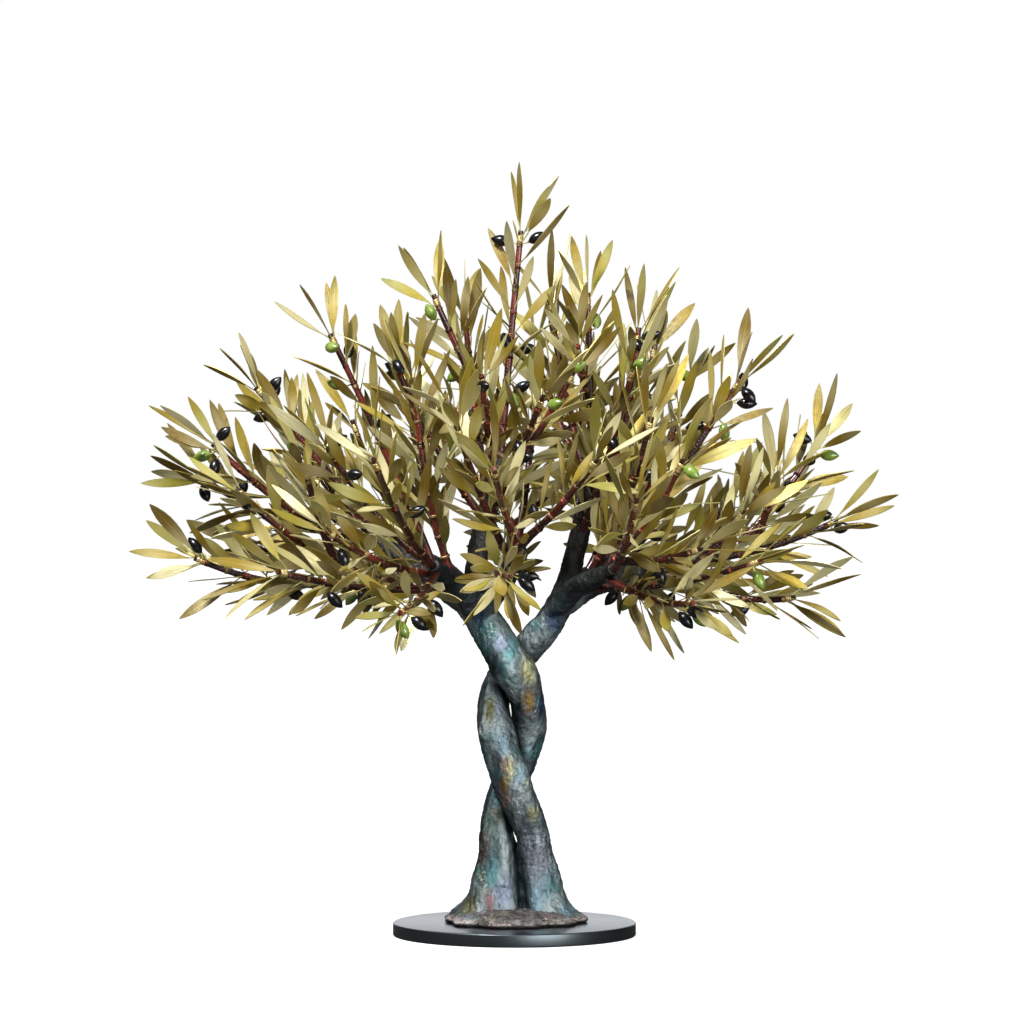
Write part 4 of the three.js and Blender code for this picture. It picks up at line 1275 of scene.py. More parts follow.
def make_putty(name):
    colour = colours()
    finish = Finish(name, metallic=0.0)
    grains = finish.noise(700, 6, rough=0.7)
    paint = finish.mixed(finish.mottle(130, 0.42, 0.62), colour.putty, colour.putty_dark)
    paint = finish.mixed(finish.mottle(60, 0.5, 0.66, shift=4), paint, colour.putty_blue)
    paint = finish.mixed(finish.mottle(75, 0.54, 0.68, shift=9), paint, colour.putty_green)
    height = finish.upward()
    foot = DISC_THICKNESS * MM
    # Painted highlight: pale pink streaks in a band just above the disc, along the mound's rim
    rim = finish.ranged(height, foot + 0.0055, foot + 0.0022)
    rim = finish.times(rim, finish.mottle(50, 0.34, 0.5, shift=12))
    streaks = finish.mottle(260, 0.42, 0.56, stretch=(0.5, 0.5, 1.6), shift=15)
    paint = finish.mixed(finish.times(streaks, rim), paint, colour.putty_pink_highlight)
    # Painted shade in the low spots of the mound
    low = finish.ranged(finish.attribute("relief"), -0.15, -0.8, 0, 0.85)
    paint = finish.mixed(low, paint, colour.putty_pit_shade)
    flecks = finish.times(finish.mottle(330, 0.55, 0.66, shift=18), 0.6)
    paint = finish.mixed(flecks, paint, colour.putty_pale)
    paint = finish.mixed(finish.ranged(grains, 0.49, 0.37), paint, colour.putty_grit)
    # Painted shade: near-black in the undercut just above the disc, under the mound's rim
    under = finish.maths("ADD", height, finish.ranged(grains, 0.3, 0.7, -0.0006, 0.0006))
    paint = finish.mixed(finish.ranged(under, foot + 0.0028, foot + 0.0016), paint, colour.putty_under_shade)
    finish.set("Base Color", paint)
    finish.set("Roughness", finish.ranged(grains, 0.35, 0.65, 0.5, 0.8))
    normal = finish.bump(finish.noise(320, 6), 2.0, 0.9)
    finish.set("Normal", finish.bump(grains, 0.5, 0.7, under=normal))
    return finish.material


def make_disc_gloss(name):
    colour = colours()
    finish = Finish(name, coat_roughness=0.2, specular_ior_level=0.85, coat_tint=(0.86, 0.93, 1, 1))
    normal = add_node(finish.tree, "ShaderNodeTexCoord").outputs["Normal"]
    top = finish.ranged(finish.upward(normal), 0.5, 0.95)
    smears = finish.mottle(60, 0.45, 0.75)
    dust = finish.mottle(2600, 0.66, 0.72, shift=2)
    base = finish.mixed(finish.times(dust, 0.2), colour.disc_black, colour.disc_dust)
    finish.set("Base Color", finish.mixed(top, colour.disc_wall, base))
    finish.set("Metallic", finish.ranged(top, 0, 1, 0.95, 0))
    finish.set("Coat Weight", finish.ranged(top, 0, 1, 0, 0.75))
    satin = finish.ranged(smears, 0, 1, 0.36, 0.39)
    finish.set("Roughness", finish.maths("ADD", satin, finish.ranged(top, 0, 1, 0, -0.02)))
    finish.set("Normal", finish.bump(finish.noise(90, 2), 0.05, 0.2))
    return finish.material


def make_leaf_gold(name):
    colour = colours()
    finish = Finish(name, specular_ior_level=0.36)
    tone = finish.attribute("tone")
    out = finish.attribute("out")
    aside = finish.attribute("aside")
    # Leaves run from dark to pale by their tone: partly each leaf's own tone, with painted shade toward the
    # dark end and a painted highlight for the palest leaves
    paint = finish.mixed(finish.ranged(tone, 0.0, 0.45), colour.leaf_dark, colour.leaf_gold)
    greener = finish.times(finish.ranged(tone, 0.4, 0.6), finish.mottle(28, 0.4, 0.58))
    paint = finish.mixed(greener, paint, colour.leaf_green)
    paint = finish.mixed(finish.ranged(tone, 0.68, 0.95), paint, colour.leaf_pale_highlight)
    scales = ((out, 1.5), (aside, 2.4), (tone, 61))
    lengthwise = {axis: finish.times(value, scale) for axis, (value, scale) in zip("XYZ", scales)}
    along = add_node(finish.tree, "ShaderNodeCombineXYZ", lengthwise).outputs[0]
    streaks = finish.ranged(finish.noise(1.6, 5, vector=along), 0.46, 0.66)
    paint = finish.mixed(finish.times(streaks, 0.42), paint, colour.leaf_dark)
    # Painted highlight: a soft pale band along each leaf, at a place set by its tone
    place = finish.maths("FRACT", finish.times(tone, 7))
    near = finish.maths("ABSOLUTE", finish.maths("SUBTRACT", out, place))
    sheen = finish.times(finish.ranged(near, 0.45, 0.05), finish.noise(1.1, 3, vector=along))
    paint = finish.mixed(finish.times(sheen, 0.44), paint, colour.leaf_pale_highlight)
    tips = finish.times(finish.ranged(out, 0.7, 1.0), 0.35)
    paint = finish.mixed(tips, paint, colour.leaf_tip)
    foot = finish.times(finish.ranged(out, 0.16, -0.2), 0.7)
    paint = finish.mixed(foot, paint, colour.leaf_foot)
    rib = finish.times(finish.ranged(aside, 0.16, 0.02), 0.12)
    paint = finish.mixed(rib, paint, colour.leaf_rib)
    finish.set("Base Color", paint)
    finish.set("Metallic", finish.ranged(streaks, 0, 1, 0.4, 0.15))
    finish.wear(400, 0.32, 0.48)
    normal = finish.bump(finish.ranged(aside, 0.0, 0.14), 0.1, 0.3)
    finish.set("Normal", finish.bump(finish.noise(200, 4), 0.3, 0.25, under=normal))
    return finish.material


def make_wrapped_stem(name):
    colour = colours()
    finish = Finish(name, coat_weight=0.35, coat_roughness=0.15, metallic=0.1)
    redness = finish.maths("ADD", finish.attribute("redness"), finish.mottle(34, 0.38, 0.66), clamp=True)
    redness = finish.times(redness, finish.mottle(75, 0.34, 0.66, shift=6))
    paint = finish.mixed(redness, colour.stem_dark, colour.stem_red)
    flecks = finish.mottle(300, 0.6, 0.72, shift=2)
    paint = finish.mixed(finish.times(flecks, 0.5), paint, colour.stem_fleck)
    finish.set("Base Color", paint)
    finish.wear(500, 0.2, 0.42)
    turns = finish.attribute("wound")
    wave = finish.maths("PINGPONG", finish.times(turns, 1 / 2.2), 0.5)
    normal = finish.bump(finish.ranged(wave, 0.0, 0.12), 0.18, 0.45)
    finish.set("Normal", finish.bump(finish.noise(450, 4), 0.4, 0.5, under=normal))
    return finish.material


def make_collar_wrap(name):
    colour = colours()
    finish = Finish(name)
    paint = finish.mixed(finish.mottle(160, 0.4, 0.62), colour.stem_dark, colour.stem_red)
    paint = finish.mixed(finish.mottle(700, 0.54, 0.66, shift=3), paint, colour.collar_copper)
    paint = finish.mixed(finish.attribute("tone"), paint, colour.collar_gold)
    paint = finish.mixed(finish.mottle(900, 0.64, 0.72, shift=5), paint, colour.collar_glint)
    finish.set("Base Color", paint)
    finish.set("Metallic", finish.mottle(300, 0.3, 0.7, shift=1))
    finish.wear(700, 0.28, 0.5)
    finish.set("Normal", finish.bump(finish.noise(1300, 3), 0.3, 0.7))
    return finish.material


def make_black_olive(name):
    colour = colours()
    finish = Finish(name, coat_weight=0.1, coat_roughness=0.1)
    bloom = finish.mottle(180, 0.5, 0.8)
    finish.set("Base Color", finish.mixed(bloom, colour.olive_black, colour.olive_bloom))
    finish.wear(300, 0.2, 0.34)
    finish.set("Normal", finish.bump(finish.noise(420, 3), 0.3, 0.3))
    return finish.material


def make_green_olive(name):
    colour = colours()
    finish = Finish(name, coat_weight=0.35, coat_roughness=0.12)
    paint = finish.mixed(finish.mottle(160, 0.4, 0.66), colour.olive_green, colour.olive_lime)
    paint = finish.mixed(finish.mottle(1300, 0.62, 0.68, shift=2), paint, colour.olive_dots)
    ends = finish.ranged(finish.attribute("out"), 0.86, 1.0)
    paint = finish.mixed(finish.times(ends, 0.5), paint, colour.olive_ends)
    finish.set("Base Color", paint)
    finish.wear(300, 0.2, 0.36)
    finish.set("Normal", finish.bump(finish.noise(420, 3), 0.3, 0.3))
    return finish.material


def make_floor_white(name):
    """Pale to the camera, and a plain grey in what it throws back at the piece."""
    colour = colours()
    finish = Finish(name, roughness=0.9, specular_ior_level=0.1)
    seen = add_node(finish.tree, "ShaderNodeLightPath").outputs["Is Camera Ray"]
    pale = finish.mixed(finish.mottle(0.6, 0.3, 0.7), colour.floor_pale, colour.floor_paler)
    finish.set("Base Color", finish.mixed(seen, colour.floor_return, pale))
    finish.shader.inputs["Emission Color"].default_value = (1, 1, 1, 1)
    away = add_node(finish.tree, "ShaderNodeVectorMath", {0: finish.coordinates}, operation="LENGTH")
    glow = finish.ranged(away.outputs["Value"], *FLOOR_GLOW_REACH, *FLOOR_GLOW)
    finish.set("Emission Strength", finish.times(seen, glow))
    return finish.material


# Trunks


def around_from(direction, degrees, radius):
    """How far round a trunk each direction is from the one given in degrees."""
    turn = direction - math.radians(degrees)
    return np.arctan2(np.sin(turn), np.cos(turn)) * radius


def bark_radius(radius, direction, height, side):
    """The round of a trunk with its ribs and knots."""
    standing = np.zeros(len(direction))
    for knot_height, degrees, reach, rise in KNOTS[side]:
        away = np.hypot(height - knot_height, around_from(direction, degrees, radius)) / reach
        standing += rise * np.exp(-KNOT_FALL * away * away)
    return radius * waved(direction, twisted(BARK_RIBS, height)) + standing


def fine_forms(radius, direction, height, side):
    """Ridges, scars and the flare of the foot, which only the fine surface has."""
    standing = np.zeros(len(direction))
    for top, bottom, top_turn, bottom_turn, half, rise, start in RIDGES[side]:
        share = (top - height) / (top - bottom)
        if share < -start:
            continue
        degrees = top_turn + ((bottom_turn - top_turn + 180) % 360 - 180) * min(max(share, 0), 1)
        width = half * (1 + RIDGE_SPREAD * max(share, 0))
        aside = around_from(direction, degrees, radius) / width
        ends = float(smooth_step(-start, start, share))
        standing += rise * ends * np.exp(-(aside**2) * RIDGE_FALL)
    for scar_height, degrees, eye, tall, rise in SCARS[side]:
        away = np.hypot((height - scar_height) / tall, around_from(direction, degrees, radius))
        standing += rise * np.exp(-((away - eye) ** 2)) - rise * np.exp(-((away / eye) ** 2) * SCAR_FALL)
    flare = FLARE * math.exp(-max(height - DISC_THICKNESS - FOOT_BED, 0) / FLARE_FALL)
    return standing + flare * waved(direction, FLARE_WAVES)


def carried_frames(points):
    """Directions square to a row of points that don't spin on the way."""
    ahead = np.gradient(points, axis=0)
    across = unit(np.cross(ahead[0], UP + RIGHT * 0.01))
    rows = []
    for forward in ahead:
        forward = unit(forward)
        across = unit(across - forward * (across @ forward))
        rows.append((across, np.cross(forward, across)))
    return np.array([row[0] for row in rows]), np.array([row[1] for row in rows])


def trunk_form(side):
    stations = Stations(TRUNKS[side])
    alongs = [i / TRUNK_RINGS for i in range(TRUNK_RINGS + 1)]
    points = np.array([stations.point(along) for along in alongs])
    across, above = carried_frames(points)
    angles = 2 * math.pi * np.arange(TRUNK_SIDES) / TRUNK_SIDES
    fall, least = TRUNK_END
    radii = []
    for i, along in enumerate(alongs):
        offsets = across[i] * np.cos(angles)[:, None] + above[i] * np.sin(angles)[:, None]
        direction = np.arctan2(offsets[:, 1], offsets[:, 0])
        radius, height = stations.radius(along), points[i][2]
        ring = bark_radius(radius, direction, height, side) + fine_forms(radius, direction, height, side)
        radii.append(ring * min(1, math.sqrt(max((1 - along) * fall, 0)) + least))
    return tube("trunk_" + side + "_foot_looks", points, across, above, radii, TRUNK_SIDES)


def limb_form(name):
    curve = LIMB_CURVES[name]
    points = np.array([curve.point(i / LIMB_RINGS) for i in range(LIMB_RINGS + 1)])
    across, above = carried_frames(points)
    angles = 2 * math.pi * np.arange(LIMB_SIDES) / LIMB_SIDES
    radii = []
    for i in range(LIMB_RINGS + 1):
        radii.append(curve.radius(i / LIMB_RINGS) * waved(angles, twisted(LIMB_RIBS, i)))
    return tube(name, points, across, above, radii, LIMB_SIDES)


def cut_flat(piece, height):
    """Cuts the foot off flat at a height and closes it."""
    with editing(piece):
        bpy.ops.mesh.bisect(plane_co=(0, 0, height * MM), plane_no=(0, 0, 1), use_fill=True, clear_inner=True)


def noise_at(points, scale, octaves, stretch=(1, 1, 1), shift=0.0):
    """Fractal noise from about -1 to 1 at each point. scale is the size of a lump in millimetres."""
    moved = points * np.array(stretch) / scale + shift
    return np.array([noise.fractal(Vector(point), *FRACTAL, octaves) for point in moved])


def wrinkles_at(points, scale, stretch, shift):
    """Thin winding lines, 1 along each line and 0 between them."""
    return np.clip(1 - 3.2 * np.abs(noise_at(points, scale, 3, stretch, shift)), 0, 1) ** 1.5


def carve_bark(piece, side):
    """Lumps and creases of the bark, moved along the surface's own direction."""
    mesh = piece.data
    points = read_points(mesh) / MM
    relief = sizes().bark_relief / MM
    height = points[:, 2]
    creased = smooth_step(*CREASED_FROM, height) * smooth_step(*CREASED_TO, height) * (side == "right")
    level = wrinkles_at(points, *LEVEL_WRINKLES) * creased
    upright = wrinkles_at(points, *UPRIGHT_WRINKLES) * (1 - creased)
    fine = GRAIN_RISE * noise_at(points, *BARK_GRAIN) - LEVEL_DEPTH * level - UPRIGHT_DEPTH * upright
    detail = relief * noise_at(points, *BARK_LUMPS) + fine
    bottom = DISC_THICKNESS + FOOT_BED
    moves = detail * smooth_step(bottom, bottom + 2, height)
    write_points(mesh, (points + read_points(mesh, "normal") * moves[:, None]) * MM)
    write_values(mesh, "relief", np.clip(fine / 0.6, -1, 1))
    # Nearness to the other trunk, for the painted shade between the trunks
    write_values(mesh, "painted_shade", hollow_at(points, side))
    rim, eye = scars_at(points, side)
    write_values(mesh, "rim", rim)
    write_values(mesh, "eye", eye)


def scars_at(points, side):
    """How much each point is on a scar's rim, and in the ring inside it."""
    stations = Stations(TRUNKS[side])
    alongs = np.linspace(0, 1, 400)
    centres = np.array([stations.point(along) for along in alongs])
    rim, eye = np.zeros(len(points)), np.zeros(len(points))
    for height, degrees, half, tall, _ in SCARS[side]:
        nearest = int(np.argmin(np.abs(centres[:, 2] - height)))
        turn = math.radians(degrees)
        outwards = np.array([math.cos(turn), math.sin(turn), 0])
        away = points - (centres[nearest] + stations.radius(alongs[nearest]) * outwards)
        away = np.sqrt(away[:, 0] ** 2 + away[:, 1] ** 2 + (away[:, 2] / tall) ** 2)
        rim = np.maximum(rim, np.exp(-(((away - half - 0.5) / 0.6) ** 2)))
        eye = np.maximum(eye, 0.85 * np.exp(-(((away - half * 0.5) / 0.5) ** 2)))
    return rim, eye


def hollow_at(points, side):
    """How near each point is to the other trunk, from 0 to 1, which sets the painted shade between the
    trunks.
    """
    other = Stations(TRUNKS["left" if side == "right" else "right"])
    alongs = np.linspace(0, 1, 90)
    centres = np.array([other.point(along) for along in alongs])
    radii = np.array([other.radius(along) for along in alongs])
    away = np.linalg.norm(points[:, None, :] - centres[None, :, :], axis=2) - radii[None, :]
    return 1 - smooth_step(*HOLLOW_REACH, away.min(axis=1))


class BONSAI_OT_trunks(bpy.types.Operator):
    """Sculpts the two wound trunks with their limbs"""

    bl_idname = "olive_bonsai.make_trunks"
    bl_label = "Trunks"

    def execute(self, context):
        for side in ("right", "left"):
            limbs = [limb_form(name) for name, (carrier, *_) in LIMBS.items() if carrier == side]
            trunk = joined([trunk_form(side), *limbs], "trunk_" + side + "_foot_looks")
            modified(trunk, "REMESH", mode="VOXEL", voxel_size=sizes().trunk_grain)
            modified(trunk, "SMOOTH", factor=0.5, iterations=4)
            carve_bark(trunk, side)
            cut_flat(trunk, DISC_THICKNESS + FOOT_BED)
            dress(trunk, 60, "trunk_paint", make_trunk_paint)
            finish_piece(trunk, "trunk", "trunk_" + side + "_foot")
        return {"FINISHED"}


# Disc and mound


class BONSAI_OT_disc(bpy.types.Operator):
    """Makes the glossy round disc with its fine bevel"""

    bl_idname = "olive_bonsai.make_disc"
    bl_label = "Disc"

    def execute(self, context):
        deselect()
        bpy.ops.mesh.primitive_cylinder_add(
            vertices=DISC_SIDES,
            radius=DISC_RADIUS * MM,
            depth=DISC_THICKNESS * MM,
            location=(0, 0, DISC_THICKNESS * MM / 2),
        )
        disc = context.object
        disc.name = disc.data.name = "disc_looks"
        bpy.ops.object.transform_apply(location=True, rotation=True, scale=True)
        with editing(disc):
            bpy.ops.mesh.select_mode(type="EDGE")
            bpy.ops.mesh.select_all(action="DESELECT")
        for edge in disc.data.edges:
            edge.select = self.is_rim(disc.data, edge)
        bpy.ops.object.mode_set(mode="EDIT")
        bpy.ops.mesh.bevel(offset=DISC_BEVEL * MM, segments=4, profile=0.5, affect="EDGES")
        bpy.ops.mesh.select_mode(type="VERT")
        bpy.ops.object.mode_set(mode="OBJECT")
        dress(disc, 25, "disc_gloss", make_disc_gloss)
        finish_piece(disc, "disc", "base_disc")
        return {"FINISHED"}

    def is_rim(self, mesh, edge):
        low, high = (mesh.vertices[i].co for i in edge.vertices)
        return abs(low.z - high.z) < 0.1 * MM


class BONSAI_OT_mound(bpy.types.Operator):
    """Makes the rough putty mound that beds the trunks' feet"""

    bl_idname = "olive_bonsai.make_mound"
    bl_label = "Mound"

    def execute(self, context):
        past = np.array([p for p, _ in MOUND_PROFILE] + [-MOUND_REACH + 0.01], float)
        highs = np.array([h for _, h in MOUND_PROFILE] + [MOUND_HEIGHT], float)
        lengths = np.concatenate([[0], np.cumsum(np.hypot(np.diff(past), np.diff(highs)))])
        steps = np.linspace(0, lengths[-1], MOUND_RINGS + 1)
        reach, high = np.interp(steps, lengths, past) + MOUND_REACH, np.interp(steps, lengths, highs)

        def place(column, row):
            direction = 2 * math.pi * (column % MOUND_SIDES) / MOUND_SIDES
            x, y = np.cos(direction), np.sin(direction)
            ragged = noise_at(np.stack([x, y, direction * 0], 1) * MOUND_REACH, *RIM_LUMPS)
            ragged = RIM_RAGGED * ragged * smooth_step(DISC_THICKNESS, 2, high[row])
            out = reach[row] * waved(direction, MOUND_LOBES) + ragged
            return np.stack([out * x, out * y, high[row] + DISC_THICKNESS], 1)

        mound = rolled("mound_looks", MOUND_SIDES, MOUND_RINGS, place)
        mesh = mound.data
        points = read_points(mesh) / MM
        rough = MOUND_LUMP_SHARE * noise_at(points, *MOUND_LUMPS) + noise_at(points, *MOUND_GRAIN)
        free = smooth_step(DISC_THICKNESS, DISC_THICKNESS + 1.2, points[:, 2])
        moved = points + read_points(mesh, "normal") * (MOUND_ROUGH * rough * free)[:, None]
        moved[:, 2] = np.maximum(moved[:, 2], DISC_THICKNESS)
        write_points(mesh, moved * MM)
        write_values(mesh, "relief", np.clip(rough, -1, 1))
        dress(mound, 60, "mound_putty", make_putty)
        finish_piece(mound, "mound", "root_mound")
        return {"FINISHED"}


# Leafy stems


def mark_stalk(mesh):
    """The values by which the leaves' finish knows a stalk."""
    write_values(mesh, "out", -1.0)
    write_values(mesh, "aside", 0.5)


def make_leaf_blank():
    """One flat leaf on its stalk, which every leaf is a copy of: the blade runs from x 0 to its length."""
    stations, widths = np.array(BLADE_STATIONS), np.array(BLADE_WIDTHS)

    def place(column, row):
        aside = (row - 1) * widths[column] * BLANK_WIDTH / 2
        return np.stack([stations[column] * BLANK_LENGTH, aside, np.zeros(len(aside))], 1)

    blade = rolled("leaf_blank", len(stations) - 1, 2, place, scale=1)
    with editing(blade):
        bpy.ops.mesh.select_all(action="DESELECT")
    for face in blade.data.polygons:
        face.select = len(face.vertices) > 4
    bpy.ops.object.mode_set(mode="EDIT")
    bpy.ops.mesh.delete(type="ONLY_FACE")
    bpy.ops.object.mode_set(mode="OBJECT")
    modified(blade, "SOLIDIFY", thickness=sizes().leaf_thickness / MM, offset=0)
    flat = read_points(blade.data)
    half = np.interp(flat[:, 0] / BLANK_LENGTH, stations, widths) * BLANK_WIDTH / 2
    write_values(blade.data, "out", flat[:, 0] / BLANK_LENGTH)
    write_values(blade.data, "aside", np.clip(np.abs(flat[:, 1]) / np.maximum(half, 0.1), 0, 1))
    rows = np.linspace(-1, STALK_OVERLAP, STALK_RINGS)
    places = [along * (BLANK_STALK if along < 0 else BLANK_LENGTH) for along in rows]
    stalk = straight_tube("leaf_stalk", places, [STALK_RADIUS] * STALK_RINGS, STALK_SIDES)
    mark_stalk(stalk.data)
    leaf = joined([blade, stalk], "leaf_blank")
    dress(leaf, 50, "leaf_gold", make_leaf_gold)
    return leaf


def leaf_copy(blank, leaf, number):
    """A leaf in its place, with its own bend, twist, cup and tone."""
    draw = draws_for("leaf", number)
    twist = (draw() - 0.5) * 2 * sizes().leaf_twist
    cup, sway, wave, sag = ((draw() - middle) * weight for middle, weight in LEAF_SHAPE.values())
    tone = draw()
    slim = mix(*LEAF_SLIMNESS, draw())
    across = np.cross(leaf.face, leaf.direction)

    def place(points):
        blade = np.clip(points[:, 0] / BLANK_LENGTH, 0, 1)
        on_stalk = np.clip(-points[:, 0] / BLANK_STALK, 0, 1)
        along = np.where(points[:, 0] > 0, leaf.stalk + blade * leaf.length, leaf.stalk * (1 - on_stalk))
        aside = points[:, 1] * np.where(points[:, 0] > 0, slim * leaf.width / BLANK_WIDTH, 1)
        lift = points[:, 2] + cup * aside * aside / leaf.width * 2
        turn = twist * blade
        y = aside * np.cos(turn) - lift * np.sin(turn) + sway * leaf.length * blade * blade
        z = aside * np.sin(turn) + lift * np.cos(turn) - leaf.bend * leaf.length * blade * blade
        z = z + wave * leaf.length * np.sin(blade * 5) * blade
        y = y + 4 * sag * on_stalk * (1 - on_stalk) * leaf.stalk
        return leaf.root + along[:, None] * leaf.direction + y[:, None] * across + z[:, None] * leaf.face

    piece = copied(blank, "leaf", place)
    write_values(piece.data, "tone", tone)
    return piece


def make_stem(name, number):
    curve = CURVES[name]
    draw = draws_for("stem", number)
    alongs = np.linspace(0, 1, STEM_RINGS + 1)
    centres = np.array([curve.point(along) for along in alongs])
    across = np.array([away_from(curve.direction(along), 0) for along in alongs])
    above = np.array([away_from(curve.direction(along), math.pi / 2) for along in alongs])
    reach = np.linalg.norm(curve.end - curve.root)
    angles = 2 * math.pi * np.arange(STEM_FINE_SIDES) / STEM_FINE_SIDES
    radii = np.array([stem_radius(along) for along in alongs])[:, None] * np.ones(STEM_FINE_SIDES)
    radii = radii * (1 + STEM_SWELL * np.sin(alongs[:, None] * reach / 5 + 2 * angles[None, :] + draw() * 6))
    stem = tube(name + "_stem", centres, across, above, radii, STEM_FINE_SIDES)
    points = read_points(stem.data) / MM
    nearest = np.argmin(np.linalg.norm(points[:, None, :] - centres[None, :, :], axis=2), axis=1)
    write_values(stem.data, "wound", alongs[nearest] * reach)
    write_values(stem.data, "redness", mix(*STEM_REDNESS, draw()))
    dress(stem, 50, "wrapped_stem", make_wrapped_stem)
    return stem


def make_collar_blank():
    """One wrap of thin metal round a stem of radius 1, along X from 0 to 1, with a few swellings."""
    places = np.linspace(0, 1, len(COLLAR_SWELLS))
    blank = straight_tube("collar_blank", places, COLLAR_SWELLS, COLLAR_SIDES)
    dress(blank, 60, "collar_wrap", make_collar_wrap)
    return blank


def collar_copy(blank, name, along, number):
    draw = draws_for("collar", number)
    forward = CURVES[name].direction(along)
    across, above = away_from(forward, 0), away_from(forward, math.pi / 2)
    radius = stem_radius(along) * COLLAR_SWELL * mix(0.94, 1.12, draw())
    tip = along > 1 - 1.2 * COLLAR_FROM_TIP / np.linalg.norm(CURVES[name].end - CURVES[name].root)
    length = (TIP_COLLAR_LENGTH if tip else COLLAR_LENGTH) * mix(0.7, 1.4, draw())
    centre = CURVES[name].point(along)

    def place(points):
        out = centre + ((points[:, 0] - 0.5) * length)[:, None] * forward
        return out + radius * (points[:, 1][:, None] * across + points[:, 2][:, None] * above)

    collar = copied(blank, "collar", place)
    write_values(collar.data, "tone", TIP_COLLAR_TONE if tip else COLLAR_TONE * draw() ** 3)
    return collar


class BONSAI_OT_leafy_stems(bpy.types.Operator):
    """Makes the wrapped stems, their collars and their leaves"""

    bl_idname = "olive_bonsai.make_leafy_stems"
    bl_label = "Leafy stems"

    def execute(self, context):
        leaf_blank, collar_blank = make_leaf_blank(), make_collar_blank()
        for node in [name for name in STEMS if node_of(name) == name]:
            members = [name for name in STEMS if node_of(name) == node]
            stems = [make_stem(name, CROWN.numbers[name]) for name in members]
            stem = joined(stems, node + "_wire")
            finish_piece(stem, "stem_wire", "stem_" + node)
            collars = [
                collar_copy(collar_blank, name, along, i)
                for i, (name, along) in enumerate(CROWN.collars)
                if name in members
            ]
            finish_piece(joined(collars, node + "_collars"), "collar")
            leaves = [
                leaf_copy(leaf_blank, leaf, i) for i, leaf in enumerate(CROWN.leaves) if leaf.name in members
            ]
            finish_piece(joined(leaves, node + "_leaves"), "leaf")
        for blank in (leaf_blank, collar_blank):
            bpy.data.objects.remove(blank)
        return {"FINISHED"}


# Olives


def make_olive_blank(colour, make):
    """One olive along X from 0 to 1, a little blunter at its stalk, with its own ends drawn to points."""
    deselect()
    bpy.ops.mesh.primitive_uv_sphere_add(segments=OLIVE_SIDES, ring_count=OLIVE_RINGS, radius=0.5)
    blank = bpy.context.object
    blank.name = blank.data.name = colour + "_blank"
    points = read_points(blank.data)
    along = points[:, 2] + 0.5
    full = np.hypot(points[:, 0], points[:, 1])
    lean, fullness = OLIVE_BLUNTNESS
    wanted = 0.5 * np.sin(math.pi * along**lean) ** fullness
    scale = np.where(full > 1e-6, wanted / np.maximum(full, 1e-6), 0)
    nib = OLIVE_NIB * (smooth_step(0.93, 1, along) - smooth_step(0.07, 0, along))
    write_points(blank.data, np.stack([along + nib, points[:, 0] * scale, points[:, 1] * scale], 1))
    write_values(blank.data, "out", along)
    with editing(blank):
        bpy.ops.mesh.normals_make_consistent(inside=False)
    dress(blank, 80, colour + "_olive", make)
    return blank


def olive_copy(blank, olive):
    across = unit(np.cross(olive.axis, RIGHT if abs(olive.axis[2]) > 0.9 else UP))
    above = np.cross(olive.axis, across)

    def place(points):
        out = olive.start + (points[:, 0] * OLIVE_LENGTH)[:, None] * olive.axis
        return out + OLIVE_DIAMETER * (points[:, 1][:, None] * across + points[:, 2][:, None] * above)

    return copied(blank, "olive", place)


def olive_stalk(olive, number):
    """The thin wire an olive hangs on, from inside the stem to inside the olive."""
    draw = draws_for("stalk", number)
    middle = (olive.stem + olive.start) / 2 - UP * (0.6 + draw()) + olive.axis * -1.2
    curve = Bent(olive.stem, middle, olive.start + olive.axis * 0.8)
    centres = np.array([curve.point(along) for along in np.linspace(0, 1, len(OLIVE_STALK_RADII))])
    across, above = carried_frames(centres)
    stalk = tube("olive_stalk", centres, across, above, OLIVE_STALK_RADII, OLIVE_STALK_SIDES)
    mark_stalk(stalk.data)
    write_values(stalk.data, "tone", draw())
    dress(stalk, 60, "leaf_gold", make_leaf_gold)
    return stalk


class BONSAI_OT_olives(bpy.types.Operator):
    """Makes the black and green olives on their thin stalks"""

    bl_idname = "olive_bonsai.make_olives"
    bl_label = "Olives"

    def execute(self, context):
        stalks = {}
        kinds = (("black", make_black_olive, False), ("green", make_green_olive, True))
        for colour, make, green in kinds:
            blank = make_olive_blank(colour, make)
            by_node = {}
            for i, olive in enumerate(CROWN.olives):
                if olive.green == green:
                    node = node_of(olive.name)
                    by_node.setdefault(node, []).append(olive_copy(blank, olive))
                    stalks.setdefault(node, []).append(olive_stalk(olive, i))
            for node, copies in by_node.items():
                finish_piece(joined(copies, f"{node}_{colour}_olives"), colour + "_olive")
            bpy.data.objects.remove(blank)
        for node, copies in stalks.items():
            finish_piece(joined(copies, node + "_olive_stalks"), "leaf")
        return {"FINISHED"}


# Stage


def area_light(name, place, width, power):
    data = bpy.data.lights.new(name, "AREA")
    data.shape = "DISK"
    data.size = width
    data.energy = power
    light = bpy.data.objects.new(name, data)
    bpy.context.scene.collection.objects.link(light)
    light.location = place
    light.rotation_euler = (Vector(LIGHT_AIM) - Vector(place)).to_track_quat("-Z", "Y").to_euler()


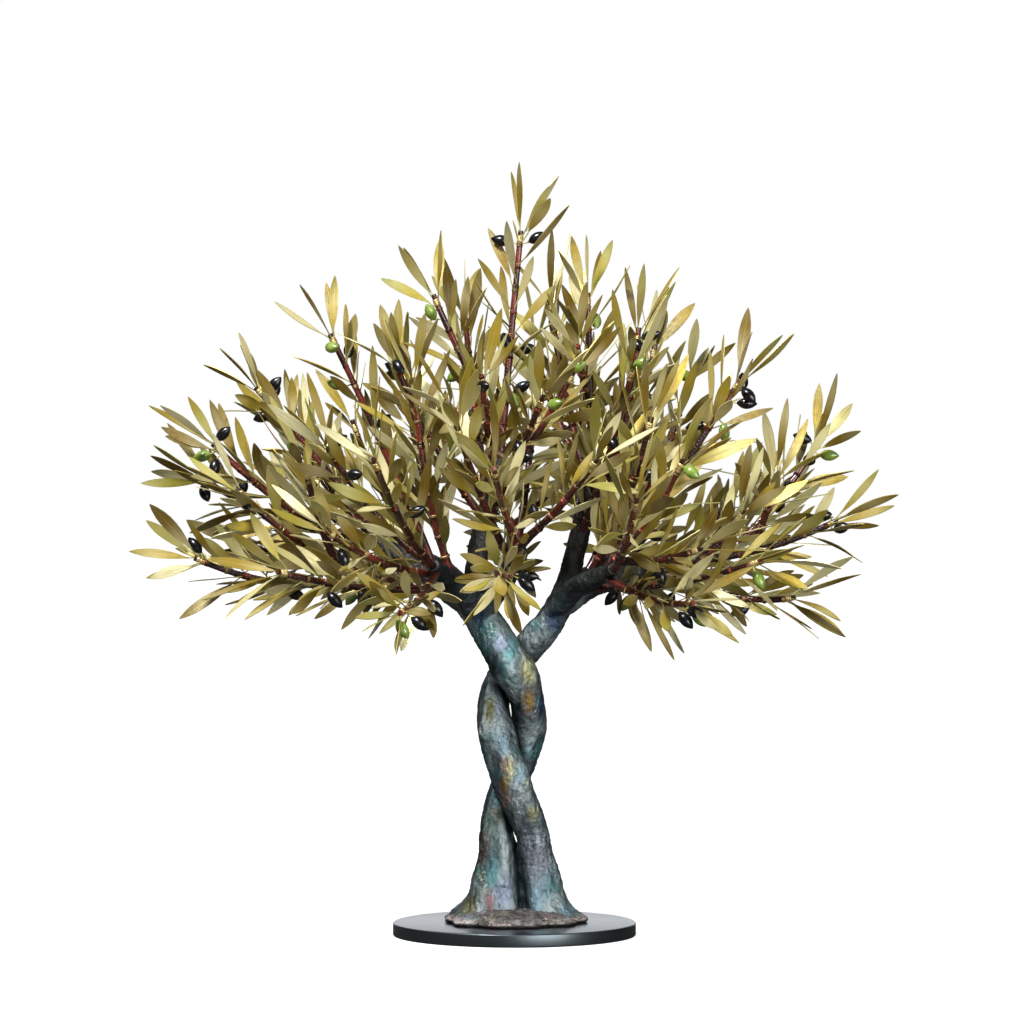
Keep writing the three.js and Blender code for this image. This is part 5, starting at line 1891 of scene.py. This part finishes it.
def soft_world():
    """White behind the piece and dimmer on the camera's side."""
    world = bpy.data.worlds.new("soft_white")
    world.use_nodes = True
    world.cycles.sampling_method = "NONE"
    tree = world.node_tree
    direction = add_node(tree, "ShaderNodeTexCoord").outputs["Generated"]
    behind = add_node(tree, "ShaderNodeSeparateXYZ", {0: direction}).outputs["Y"]
    ray = add_node(tree, "ShaderNodeLightPath").outputs
    sweep = {"Value": behind}
    for key, (plain, mirrored) in WORLD_SWEEP.items():
        inputs = {"Value": ray["Is Glossy Ray"], "To Min": plain, "To Max": mirrored}
        sweep[key] = add_node(tree, "ShaderNodeMapRange", inputs).outputs["Result"]
    strength = add_node(tree, "ShaderNodeMapRange", sweep).outputs["Result"]
    inputs = {0: strength, 1: ray["Is Camera Ray"]}
    strength = add_node(tree, "ShaderNodeMath", inputs, operation="MAXIMUM").outputs[0]
    tint = add_node(tree, "ShaderNodeMix", {0: ray["Is Camera Ray"]}, data_type="RGBA")
    tint.inputs[6].default_value, tint.inputs[7].default_value = rgba(WORLD_TINT), (1, 1, 1, 1)
    tree.links.new(tint.outputs[2], tree.nodes["Background"].inputs["Color"])
    tree.links.new(strength, tree.nodes["Background"].inputs["Strength"])
    return world


class BONSAI_OT_stage(bpy.types.Operator):
    """Sets the plain floor, the soft lights and the camera"""

    bl_idname = "olive_bonsai.make_stage"
    bl_label = "Stage"

    def execute(self, context):
        scene = context.scene
        deselect()
        bpy.ops.mesh.primitive_plane_add(size=sizes().floor_width)
        floor = context.object
        floor.name = "floor"
        floor.data.materials.append(make_floor_white("floor_white"))
        scene.world = soft_world()
        for name, settings in LIGHTS.items():
            area_light(name, *settings)
        camera = bpy.data.objects.new("camera", bpy.data.cameras.new("camera"))
        scene.collection.objects.link(camera)
        camera.location = [value * MM for value in CAMERA_PLACE]
        camera.rotation_euler = (math.pi / 2, 0, 0)
        camera.data.lens = CAMERA_LENS
        camera.data.sensor_width = CAMERA_SENSOR
        camera.data.clip_start, camera.data.clip_end = CAMERA_CLIP
        scene.camera = camera
        scene.view_settings.view_transform = "Standard"
        return {"FINISHED"}


OPERATORS = (
    BONSAI_OT_stage,
    BONSAI_OT_disc,
    BONSAI_OT_mound,
    BONSAI_OT_trunks,
    BONSAI_OT_leafy_stems,
    BONSAI_OT_olives,
)


class BONSAI_PT_panel(bpy.types.Panel):
    """Lists the sizes, the colours and what makes each piece"""

    bl_idname = "BONSAI_PT_panel"
    bl_label = "Olive bonsai"
    bl_space_type = "VIEW_3D"
    bl_region_type = "UI"
    bl_category = "Olive bonsai"

    def draw(self, context):
        for group in (sizes(), colours()):
            column = self.layout.column()
            for key in group.bl_rna.properties.keys():
                if key not in ("rna_type", "name"):
                    column.prop(group, key)
        for operator in OPERATORS:
            self.layout.operator(operator.bl_idname)


CLASSES = (BonsaiSizes, BonsaiColours, *OPERATORS, BONSAI_PT_panel)


def register():
    for kind in CLASSES:
        bpy.utils.register_class(kind)
    bpy.types.Scene.olive_bonsai_sizes = bpy.props.PointerProperty(type=BonsaiSizes)
    bpy.types.Scene.olive_bonsai_colours = bpy.props.PointerProperty(type=BonsaiColours)


def unregister():
    del bpy.types.Scene.olive_bonsai_sizes
    del bpy.types.Scene.olive_bonsai_colours
    for kind in reversed(CLASSES):
        bpy.utils.unregister_class(kind)


CROWN = Crown()


def main():
    register()
    for operator in OPERATORS:
        group, name = operator.bl_idname.split(".")
        getattr(getattr(bpy.ops, group), name)()
    deselect()


if __name__ == "__main__":
    main()
